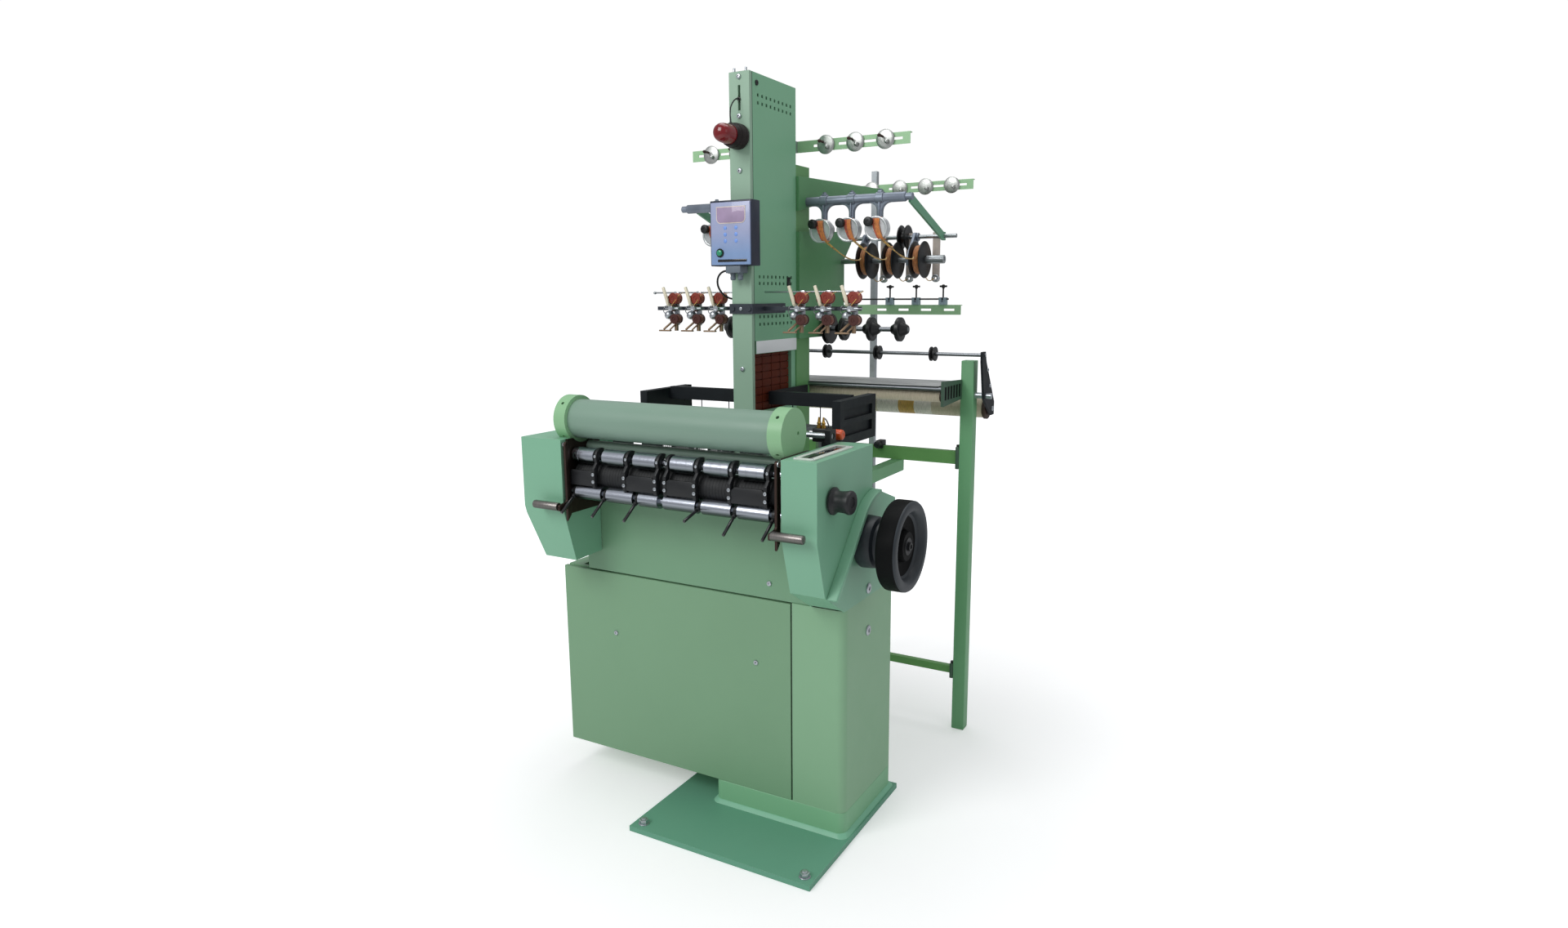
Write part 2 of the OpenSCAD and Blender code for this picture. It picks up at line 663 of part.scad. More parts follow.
// Main shaft with its belt pulley and two crank discs
motor_y = 1.9 * shaft_y;
motor_z = foot_z[1] + 2.2222 * foot_h;
motor_pulley_r = 35;
belt_t = 6;
belt_seat = 0.9;
crank_r = 30;
crank_throw = 12;
crank_w = 14;
module main_shaft() {
  color("#9aa0a4")
  union() {
    bar_x([belt_x - belt_w, body_right + wheel_gap + wheel_w - shaft_r], shaft_y, shaft_z, shaft_r);
    difference() {
      bar_x([belt_x - belt_w / 2, belt_x + belt_w / 2], shaft_y, shaft_z, pulley_r);
      for (a = [0 : 60 : 300])
        bar_x([belt_x - belt_w, belt_x + belt_w], shaft_y + 0.62 * pulley_r * cos(a),
           shaft_z + 0.62 * pulley_r * sin(a), pulley_r / 6);
    }
    for (x = sword_x)
      bar_x([x + 2 * crank_w, x + 3 * crank_w], shaft_y + crank_throw, shaft_z, crank_r);
  }
}

// Handwheel: a collar by the casing and a deep dished wheel
wheel_gap = 4;
wheel_w = 142;
wheel_profile_shares = [[0, 0], [0, 0.56], [0.05, 0.59], [0.3, 0.57], [0.36, 0.46], [0.52, 0.42],
            [0.56, 0.8], [0.6, 0.98], [0.64, 1], [0.94, 1], [0.99, 0.97], [1, 0.8],
            [0.95, 0.74], [0.84, 0.7], [0.78, 0.42], [0.8, 0.36], [0.92, 0.32], [0.92, 0]];
module handwheel() {
  color("#222427")
  difference() {
    turned_x(body_right + wheel_gap, shaft_y, shaft_z,
        [for (s = wheel_profile_shares) [s[0] * wheel_w, s[1] * wheel_r]]);
    bar_x([body_right, body_right + wheel_gap + wheel_w + overrun], shaft_y, shaft_z, shaft_r + run_clear);
  }
}

// Motor on its foot, its pulley, and the belt up to the main shaft
motor_r = 70;
motor_len = 190;
motor_x = belt_x + 0.9 * takeoff_r;
motor_shaft_r = 9;
module motor() {
  color("#4d5b57")
  difference() {
    union() {
      bar_x([motor_x, motor_x + motor_len], motor_y, motor_z, motor_r);
      bar_x([motor_x - 0.06 * motor_len, motor_x], motor_y, motor_z, 0.8 * motor_r);
      slab([motor_x + 0.1 * motor_len, motor_x + 0.9 * motor_len], [motor_y - motor_r, motor_y + motor_r],
        [foot_z[1] + body_wall, motor_z - 0.6 * motor_r]);
      slab([motor_x + 0.3 * motor_len, motor_x + 0.7 * motor_len],
        [motor_y - motor_r / 2, motor_y + motor_r / 2], [motor_z, motor_z + 1.3 * motor_r]);
    }
    bar_x([motor_x - motor_len / 10, motor_x + motor_len / 5], motor_y, motor_z, motor_shaft_r + run_clear);
  }
}
module motor_pulley() {
  color("#9aa0a4")
  union() {
    bar_x([belt_x - belt_w / 2, belt_x + belt_w / 2], motor_y, motor_z, motor_pulley_r);
    bar_x([belt_x - belt_w, motor_x + motor_len / 6], motor_y, motor_z, motor_shaft_r);
  }
}
// Outline of a belt round both pulleys, at a distance out from their rims
function belt_outline(out) =
  let (a = [shaft_y, shaft_z], b = [motor_y, motor_z], d = b - a, tilt = atan2(d[1], d[0]),
    ra = pulley_r + out, rb = motor_pulley_r + out, lean = acos((ra - rb) / norm(d)), n = 20)
    concat([for (i = [0 : n]) let (t = tilt + lean + i * (360 - 2 * lean) / n) a + ra * [cos(t), sin(t)]],
       [for (i = [0 : n]) let (t = tilt - lean + i * 2 * lean / n) b + rb * [cos(t), sin(t)]]);
module drive_belt() {
  color("#1b1b1c")
  translate([belt_x - belt_w / 3, 0, 0]) rotate([90, 0, 90]) linear_extrude(2 * belt_w / 3)
    difference() {
      polygon(belt_outline(belt_t + belt_seat));
      polygon(belt_outline(belt_seat));
    }
}

// Batten: a rocking shaft, two swords and a beam with one reed for each head
sword_x = [roller_mid - 2.3 * head_pitch, roller_mid + 2.3 * head_pitch];
sword_t = 12;
sword_d = 20;
beam_z = [knit_z + 0.125 * takeoff_r, knit_z + 0.675 * takeoff_r];
beam_x = [bed_in[0] + bed_inset / 2, bed_in[1] - bed_inset / 2];
reed_w = 74;
reed_h = 48;
reed_t = 8;
reed_rail = 6;
dents = 12;
module batten() {
  color("#a3a8ab")
  union() {
    bar_x([bed_x[0] + open_clear, bed_x[1] - open_clear], batten_y, batten_z, batten_shaft_r);
    for (x = sword_x)
      slab([x - sword_t / 2, x + sword_t / 2], [batten_y - sword_d / 2, batten_y + sword_d / 2],
        [batten_z, beam_z[1]]);
    slab(beam_x, [batten_y - sword_t, batten_y + sword_t], beam_z);
    for (x = head_x) reed(x);
  }
}
module reed(x) {
  y = [batten_y - reed_t / 2, batten_y + reed_t / 2];
  z = [beam_z[1], beam_z[1] + reed_h];
  for (e = [x - reed_w / 2, x + reed_w / 2 - reed_rail]) slab([e, e + reed_rail], y, z);
  slab([x - reed_w / 2, x + reed_w / 2], y, [z[1] - reed_rail, z[1]]);
  step = (reed_w - 2 * reed_rail) / dents;
  for (i = [1 : dents - 1])
    slab([x - reed_w / 2 + reed_rail + i * step - step / 5, x - reed_w / 2 + reed_rail + i * step + step / 5],
      [batten_y - reed_t / 4, batten_y + reed_t / 4], z);
}

// Weft needles: arms on one sliding rod, each with a needle across its head
weft_reach = 134;
weft_drop = 34;
needle_r = 2.5;
weft_arm = 9;
weft_stroke = 30;
module weft_needles() {
  tip_y = weft_y - weft_reach;
  color("#b9bdc0")
  union() {
    bar_x([bed_x[0] - weft_stroke - open_clear, bed_x[1] - open_clear], weft_y, weft_z, weft_rod_r);
    for (hx = head_x) {
      x = hx - head_pitch / 2 + weft_arm;
      slab([x - weft_arm / 2, x + weft_arm / 2], [tip_y, weft_y], [weft_z - weft_arm / 2, weft_z + weft_arm / 2]);
      bar_z(x, tip_y + weft_arm / 2, [weft_z - weft_drop, weft_z], weft_arm / 2);
      bar_x([x, x + 0.55 * reed_w], tip_y + weft_arm / 2, weft_z - weft_drop + needle_r, needle_r);
    }
  }
}

// Knitting needles: latch needles on arms of one rocking shaft
knit_arm_h = 44;
knit_arm_w = 6;
knit_needle_len = 34;
module knitting_needles() {
  color("#b9bdc0")
  union() {
    bar_x([left_plate_x[0] + overrun, right_plate_x[1] - overrun], knit_y, knit_z, knit_rod_r);
    for (hx = head_x) {
      x = hx + reed_w / 2 + knit_arm_w;
      slab([x - knit_arm_w / 2, x + knit_arm_w / 2], [knit_y - knit_rod_r / 2, knit_y + knit_rod_r / 2],
        [knit_z, knit_z + knit_arm_h]);
      bar_y([knit_y - knit_arm_w / 2, knit_y + knit_needle_len], x, knit_z + knit_arm_h, needle_r);
    }
  }
}

// Shed frame: end plates on legs, a black cross bar on each side and return rods under it
shed_reach = [376, 348];
shed_plate_t = 27;
shed_y = [205, 460];
shed_z = [1.078 * bed_wall_top, 1.212 * bed_wall_top];
shed_leg_d = 56;
shed_bar_y = [333, 357];
shed_bar_h = 41;
shed_bar_z = [1.176 * bed_wall_top, 1.176 * bed_wall_top + shed_bar_h];
shed_tab_t = 8;
shed_low_h = 12;
rod_shares = [0.28, 0.62, 0.84];
shed_rod_r = 1.6;
module shed_frame() {
  for (s = sides) {
    outer = mid_x + s * shed_reach[s > 0 ? 1 : 0];
    inner = outer - s * shed_plate_t;
    side = s > 0 ? tower_x[1] : tower_x[0];
    plate = [min(inner, outer), max(inner, outer)];
    run = [min(side, inner) + joint_clear, max(side, inner) - joint_clear];
    tab = [min(side, side + s * shed_tab_t), max(side, side + s * shed_tab_t)];
    face = s > 0 ? [outer - shed_plate_t / 3, outer + overrun] : [outer - overrun, outer + shed_plate_t / 3];
    pad = shed_plate_t;
    mid = (shed_z[0] + shed_z[1]) / 2;
    color("#26282b")
    union() {
      difference() {
        slab(plate, shed_y, shed_z);
        slab(face, [shed_y[0] + pad, shed_y[1] - pad], [shed_z[0] + pad, mid - pad / 3]);
        slab(face, [shed_y[0] + pad, shed_y[1] - pad], [mid + pad / 3, shed_z[1] - pad]);
      }
      slab(plate, [shed_y[0], shed_y[0] + shed_leg_d], [body_top + bed_floor_t, shed_z[0]]);
      slab(run, shed_bar_y, shed_bar_z);
      slab(tab, [shed_bar_y[0], column_y[1] - shed_plate_t], shed_bar_z);
      slab(run, [shed_bar_y[0] + shed_low_h / 2, shed_bar_y[1] - shed_low_h / 2],
        [shed_z[0], shed_z[0] + shed_low_h]);
      for (r = rod_shares)
        bar_z(side + r * (inner - side), (shed_bar_y[0] + shed_bar_y[1]) / 2,
           [shed_z[0] + shed_low_h / 2, shed_bar_z[0] + shed_low_h / 2], shed_rod_r);
    }
  }
}

// Heald frames: a left and a right half that rise together, guided by the end plates
frame_pitch = 14;
frame_t = 8;
frame_bar = 12;
frame_z = [0.93 * bed_wall_top, 1.132 * bed_wall_top];
healds = 7;
heald_t = 1.5;
tower_room = 6;
module heald_frame(i) {
  yc = shed_y[0] + frame_t + i * frame_pitch;
  y = [yc - frame_t / 2, yc + frame_t / 2];
  for (s = sides) {
    outer = mid_x + s * (shed_reach[s > 0 ? 1 : 0] - shed_plate_t - seat_clear);
    inner = mid_x + s * (tower_w / 2 + tower_room);
    x = [min(outer, inner), max(outer, inner)];
    color("#6d7478")
    union() {
      slab(x, y, [frame_z[0], frame_z[0] + frame_bar]);
      slab(x, y, [frame_z[1] - frame_bar, frame_z[1]]);
      slab([x[0], x[0] + frame_bar], y, frame_z);
      slab([x[1] - frame_bar, x[1]], y, frame_z);
      for (j = [0 : heads_per_side - 1], k = [0 : healds - 1]) {
        xc = roller_mid + s * half_heads[j] + (k - (healds - 1) / 2) * reed_w / 2 / healds;
        slab([xc - heald_t / 2, xc + heald_t / 2], [yc - heald_t / 2, yc + heald_t / 2], frame_z);
      }
    }
  }
}

// Tower: front post with its slot, rear post, cheeks over the drum, and the rear column
rear_post_d = 29;
cheek_t = 6;
drum_y = 372;
drum_z = 1.01 * bed_wall_top;
drum_r = 76;
drum_axle_r = 8;
slot_w = 8;
slot_z = [0.94954 * tower_top, 0.98241 * tower_top];
grommet_r = 6;
grommet_z = slot_z[0] + 0.45 * (slot_z[1] - slot_z[0]);
top_roller_r = 20;
rear_post_y = [tower_back - rear_post_d, tower_back];
foot_beam_h = 60;
module tower_frame() {
  inner = [tower_x[0] + cover_sheet, tower_x[1] - cover_sheet];
  front = tower_front + tower_post_t + joint_clear;
  color("#8fb394") {
    difference() {
      slab(tower_x, [tower_front, tower_front + tower_post_t], [tower_foot_z, tower_top]);
      slab([mid_x - slot_w / 2, mid_x + slot_w / 2],
        [tower_front - overrun, tower_front + tower_post_t + overrun], slot_z);
    }
    slab(inner, rear_post_y, [bed_back_top, tower_top]);
    slab(inner, [front, rear_post_y[0] - joint_clear], [tower_top - cheek_t, tower_top]);
    for (x = [[tower_x[0], inner[0] - joint_clear], [inner[1] + joint_clear, tower_x[1]]])
      difference() {
        plate_x(x, [[body_back, bed_back_top - foot_beam_h], [tower_back, bed_back_top - foot_beam_h],
              [tower_back, window_bottom], [front, window_bottom],
              [front, bed_back_top], [body_back, bed_back_top]]);
        bar_x([x[0] - overrun, x[1] + overrun], drum_y, drum_z, drum_axle_r + run_clear);
      }
    slab(tower_x, [tower_back + joint_clear, column_y[1]], [bed_back_top - foot_beam_h, column_top]);
  }
  color("#1c1d20")
  bar_y([tower_front - cover_sheet, tower_front - joint_clear], mid_x, grommet_z, grommet_r);
  // Rollers that the chain hangs from, between the covers
  color("#9aa0a4")
  for (y = [chain_y[0] + chain_w, chain_y[1] - chain_w]) bar_x(inner, y, top_roller_z, top_roller_r);
}

// Covers of the tower with their rows of vents, and the pale strip over the window
vents = 9;
vent_w = 9;
vent_pitch = 25;
vent_rows = [0.97176 * tower_top, 0.96157 * tower_top, 0.72778 * tower_top, 0.71852 * tower_top, 0.67176 * tower_top, 0.66111 * tower_top];
strip_h = 40;
module tower_cover() {
  for (s = sides) {
    x = s > 0 ? [tower_x[1] - cover_sheet, tower_x[1]] : [tower_x[0], tower_x[0] + cover_sheet];
    y = [tower_front + tower_post_t, tower_back];
    first = (y[0] + y[1]) / 2 - (vents - 1) * vent_pitch / 2;
    color("#709f80")
    difference() {
      slab(x, y, [cover_bottom, tower_top]);
      for (z = vent_rows, i = [0 : vents - 1])
        slab([x[0] - overrun, x[1] + overrun],
          [first + i * vent_pitch - vent_w / 2, first + i * vent_pitch + vent_w / 2],
          [z - vent_w / 2, z + vent_w / 2]);
    }
    color("#d9dbe0")
    slab(x, [y[0] + vent_w, y[1]], [cover_bottom - strip_h, cover_bottom]);
  }
}

// Pattern drum, and four runs of the pattern chain above it
chain_runs = 4;
chain_link_h = 24;
chain_neck = 3;
chain_y = [tower_front + tower_post_t + cheek_t, rear_post_y[0] - cover_sheet];
chain_w = (chain_y[1] - chain_y[0]) / chain_runs;
chain_x = [tower_x[0] + 2 * cheek_t, tower_x[1] - 2 * cheek_t];
top_roller_z = 0.97685 * tower_top;
chain_top = top_roller_z - top_roller_r - seat_clear;
chain_bottom = drum_z + drum_r + open_clear;
chain_step = (chain_top - chain_bottom) / round((chain_top - chain_bottom) / chain_link_h);
module pattern_chain() {
  color("#5c2e1c")
  for (i = [0 : chain_runs - 1]) {
    y = [chain_y[0] + i * chain_w + chain_neck / 2, chain_y[0] + (i + 1) * chain_w - chain_neck / 2];
    union() {
      slab([chain_x[0] + chain_neck, chain_x[1] - chain_neck], [y[0] + chain_neck, y[1] - chain_neck],
        [chain_bottom, chain_top]);
      for (z = [chain_bottom : chain_step : chain_top - chain_step / 2])
        slab(chain_x, y, [z + chain_neck / 2, z + chain_step - chain_neck / 2]);
    }
  }
}
module pattern_drum() {
  color("#7c8285")
  difference() {
    union() {
      bar_x(chain_x, drum_y, drum_z, drum_r);
      bar_x([tower_x[0] + overrun, tower_x[1] - overrun], drum_y, drum_z, drum_axle_r);
    }
    for (x = [chain_x[0] + chain_w / 6, chain_x[1] - chain_w / 6])
      difference() {
        bar_x([x - chain_neck, x + chain_neck], drum_y, drum_z, drum_r + overrun);
        bar_x([x - chain_neck, x + chain_neck], drum_y, drum_z, drum_r - chain_neck);
      }
  }
}

// Control box: a case with a pale face, its screen and keys, and the gland block under it
box_d = 55;
box_x = [mid_x - 0.53448 * box_w, mid_x + 0.46552 * box_w];
box_z = [0.74213 * tower_top, 0.74213 * tower_top + box_h];
box_face_t = 6;
screen_t = 3;
screen_shares = [[0.2, 0.66], [0.86, 0.66], [0.86, 0.89], [0.2, 0.89]];
key_share = 0.04;
button_share = [0.26, 0.2];
button_r = 9;
button_stroke = 4;
button_ring = 4;
gland_w = 52;
gland_h = 42;
gland_d = 44;
gland_r = 7;
module control_box() {
  y = [tower_front - box_d, tower_front];
  bx = box_x[0] + button_share[0] * box_w;
  bz = box_z[0] + button_share[1] * box_h;
  color("#2c3038")
  difference() {
    slab(box_x, [y[0] + box_face_t, y[1]], box_z);
    bar_y([y[0], y[0] + box_face_t + button_len], bx, bz, button_r + run_clear);
  }
  color("#c3c8da")
  difference() {
    slab([box_x[0] + box_face_t, box_x[1] - box_face_t / 2], [y[0], y[0] + box_face_t],
      [box_z[0] + box_face_t / 2, box_z[1] - box_face_t]);
    bar_y([y[0] - overrun, y[0] + box_face_t + overrun], bx, bz, button_r + run_clear);
    screen([y[0] - overrun, y[0] + screen_t / 2]);
  }
  color("#2f3d8f")
  for (i = [0, 1], j = [0 : 2])
    bar_y([y[0] - screen_t / 2, y[0]], box_x[0] + (0.39 + 0.26 * i) * box_w,
       box_z[0] + (0.58 - 0.1 * j) * box_h, key_share * box_w);
  color("#20242c")
  slab([box_x[0] + 0.2 * box_w, box_x[0] + 0.9 * box_w], [y[0] - screen_t / 2, y[0]],
    [box_z[0] + 0.06 * box_h, box_z[0] + 0.1 * box_h]);
  color("#17181a")
  difference() {
    bar_y([y[0] - screen_t, y[0]], bx, bz, button_r + button_ring);
    bar_y([y[0] - screen_t - overrun, y[0] + overrun], bx, bz, button_r + run_clear);
  }
  // Gland block with its two round glands
  color("#1b1c1f")
  union() {
    slab([mid_x - gland_w / 2, mid_x + gland_w / 2], [y[0] + box_face_t, y[0] + box_face_t + gland_d],
      [box_z[0] - gland_h / 2, box_z[0]]);
    for (x = [mid_x - gland_w / 4, mid_x + gland_w / 4])
      bar_z(x, lead_y, [box_z[0] - gland_h, box_z[0] - gland_h / 2], gland_r);
    bar_x([mid_x - gland_w / 2 - gland_r, mid_x - gland_w / 2], lead_y, box_z[0] - gland_h / 3, gland_r);
  }
}
module screen(y) {
  plate_y(y, [for (s = screen_shares) [box_x[0] + s[0] * box_w, box_z[0] + s[1] * box_h]]);
}
button_len = 14;
module push_button() {
  y0 = tower_front - box_d;
  color("#2f9b4f")
  bar_y([y0 - screen_t - button_stroke - overrun, y0 + box_face_t + button_len - button_stroke - overrun],
     box_x[0] + button_share[0] * box_w, box_z[0] + button_share[1] * box_h, button_r);
}

// Cords swept along their points, with a square ring at each point
lead_y = 0.88511 * tower_front;
lead_r = 3;
beacon_lead_r = 2;
lead_points = [[-247, 208, 1589], [-255, 208, 1589], [-263, 208, 1587], [-271, 209, 1583], [-278, 210, 1577],
       [-284, 212, 1569], [-288, 215, 1560], [-290, 219, 1550], [-291, 225, 1541], [-290, 232, 1532],
       [-288, 240, 1524], [-284, 247, 1517], [-279, 254, 1512], [-273, 260, 1508], [-266, 264, 1506],
       [-258, 266, 1505], [-249, 266, 1505]];
beacon_lead_points = [[-214, 231, 2083], [-214, 226, 2083], [-215, 220, 2081], [-217, 214, 2077], [-219, 209, 2071],
           [-221, 204, 2063], [-222, 200, 2054], [-222, 198, 2045], [-222, 197, 2036],
           [-221, 196, 2028], [-220, 196, 2020], [-220, 196, 2013]];
function unit(v) = v / norm(v);
function heading(p, i, start, end) =
  i == 0 ? start : i == len(p) - 1 ? end : unit(unit(p[i] - p[i - 1]) + unit(p[i + 1] - p[i]));
function rings(p, r, n, start, end, side) = [
  for (i = [0 : len(p) - 1])
    let (t = heading(p, i, start, end), u = unit(cross(t, side)), v = cross(t, u))
      for (k = [0 : n - 1]) p[i] + r * (cos(360 * k / n) * u + sin(360 * k / n) * v)
];
module cord(p, r, start, end, side) {
  n = 8;
  m = len(p);
  walls = [for (i = [0 : m - 2], k = [0 : n - 1])
    [i * n + k, i * n + (k + 1) % n, (i + 1) * n + (k + 1) % n, (i + 1) * n + k]];
  polyhedron(rings(p, r, n, start, end, side),
       concat([[for (k = [n - 1 : -1 : 0]) k]], walls, [[for (k = [0 : n - 1]) (m - 1) * n + k]]));
}
module control_box_lead() {
  color("#141416")
  cord(lead_points, lead_r, [-1, 0, 0], [1, 0, 0], [0, 1, 0]);
}
module beacon_lead() {
  color("#141416")
  cord(beacon_lead_points, beacon_lead_r, [0, -1, 0], [0, 0, -1], [1, 0, 0]);
}

// Beacon: a dark round body lying forward, with a red dome at its front and a boss for its lead
beacon_z = 0.91481 * tower_top;
beacon_len = 57;
dome_r = 28;
dome_len = 61;
beacon_boss_r = 6;
beacon_boss_z = 2013;
module beacon() {
  y = tower_front;
  color("#2b2322")
  union() {
    translate([mid_x, y, beacon_z]) rotate([90, 0, 0]) rotate_extrude()
      polygon([[0, 0], [0.92 * beacon_r, 0], [beacon_r, 0.1 * beacon_len], [beacon_r, 0.55 * beacon_len],
          [0.86 * beacon_r, beacon_len], [0, beacon_len]]);
    bar_z(mid_x - beacon_boss_r, tower_front - 0.684 * beacon_len, [beacon_z, beacon_boss_z], beacon_boss_r);
  }
  color("#a01522")
  translate([mid_x, y - beacon_len, beacon_z]) rotate([90, 0, 0]) rotate_extrude()
    polygon([[0, 0], [dome_r, 0], [dome_r, 0.5 * dome_len], [0.96 * dome_r, 0.66 * dome_len],
        [0.82 * dome_r, 0.82 * dome_len], [0.58 * dome_r, 0.93 * dome_len],
        [0.3 * dome_r, 0.985 * dome_len], [0, dome_len]]);
}

// Thread rails: an upright face with slots and a lip along its top
rail_slot_w = 40;
rail_slot_h = 8;
rail_slots = 9;
block_w = 22;
post_foot_w = 90;
post_foot_t = 8;
rail_post_x = [mid_x - block_w / 2, mid_x + block_w / 2];
rail_post_top = 1.02796 * rail2_top;
module rail(y, top) {
  pitch = 2 * rail_half / rail_slots;
  difference() {
    union() {
      slab(rail_x, [y, y + rail_t], [top - rail_h, top]);
      slab(rail_x, [y, y + rail_lip], [top - rail_t, top]);
    }
    for (i = [0 : rail_slots - 1])
      if (i != (rail_slots - 1) / 2)
        slab([rail_x[0] + (i + 0.5) * pitch - rail_slot_w / 2, rail_x[0] + (i + 0.5) * pitch + rail_slot_w / 2],
          [y - overrun, y + rail_t + overrun],
          [top - rail_h / 2 - rail_slot_h / 2, top - rail_h / 2 + rail_slot_h / 2]);
  }
}
module creel_rails() {
  color("#8ab873") {
    rail(rail1_y, rail1_top);
    rail(rail2_y, rail2_top);
    rail(rail3_y, rail3_top);
    slab(rail_post_x, [tower_back, rail1_y - joint_clear], [rail1_top - rail_h, rail1_top]);
    slab(rail_post_x, [rail3_y + rail_lip + joint_clear, creel_post_y - joint_clear],
      [rail3_top - rail_h, rail3_top]);
  }
  color("#b9bec0") {
    mid_y = creel_post_y + creel_post_w / 2;
    slab(rail_post_x, [creel_post_y, creel_post_y + creel_post_w], [post_foot_t + joint_clear, rail_post_top]);
    slab([mid_x - post_foot_w / 2, mid_x + post_foot_w / 2],
      [mid_y - post_foot_w / 2, mid_y + post_foot_w / 2], [0, post_foot_t]);
  }
}

// Disc tensioners on the upper rails
disc_r = 30;
disc_t = 10;
pin_r = 8;
pin_len = 34;
module thread_tensioners() {
  for (s = sides, i = slots) {
    x = mid_x + s * (disc_first + i * disc_pitch);
    color("#c2c5c6") tensioner(x, rail1_y, rail1_top - rail_h / 2, disc_r);
    color("#5c3222")
    bar_y([rail1_y - disc_t - pin_len, rail1_y - disc_t], x - pin_r, rail1_top - rail_h / 2 + pin_r, pin_r / 2);
    color("#c2c5c6") tensioner(x, rail2_y, rail2_top - rail_h / 2, disc_r);
  }
  color("#c2c5c6") tensioner(mid_x, rail2_y, rail2_top - rail_h / 2, disc_r);
}
module tensioner(x, y, z, r) {
  translate([x, y, z]) rotate([90, 0, 0]) rotate_extrude()
    polygon([[0, 0], [0.5 * r, 0], [r, 0.3 * disc_t], [r, 0.45 * disc_t], [0.8 * r, disc_t], [0, disc_t]]);
  bar_y([y - disc_t - pin_len / 3, y - disc_t], x + pin_r, z - pin_r, pin_r / 3);
}

// Feeder frame: creel side plate and arm, clamp bars with forks, and the rear rod with its
// stays, hangers and eyelet tabs
side_z = [0.63657 * tower_top, 0.79583 * tower_top];
side_depth = 339;
side_ear = 59;
side_ear_h = 40;
clamp_y = rail1_y;
clamp_z = 0.84028 * tower_top;
clamp_half = 15;
clamp_reach = [450, 415];
fork_w = 52;
fork_t = 14;
drum_hub_z = 0.9476 * clamp_z;
rod_y = tower_back + 1.35915 * tower_depth;
rod_z = 0.79259 * tower_top;
rod_r = 7;
rod_reach = 446;
feed_y = tower_back + 1.13028 * tower_depth;
feed_z = 0.75556 * tower_top;
feed_shaft_r = 9;
feed_reach = 429;
stay_t = 8;
stay_x = 398;
hanger_x = [112, 300];
hanger_t = 8;
eyelet_t = 4;
eyelet_w = 26;
eyelet_h = 150;
guide_shaft_y = tower_back + 0.63732 * tower_depth;
guide_shaft_z = 0.64907 * tower_top;
guide_shaft_r = 8;
wheel_rod_y = tower_back + 0.8662 * tower_depth;
wheel_rod_z = 1.01538 * post_h;
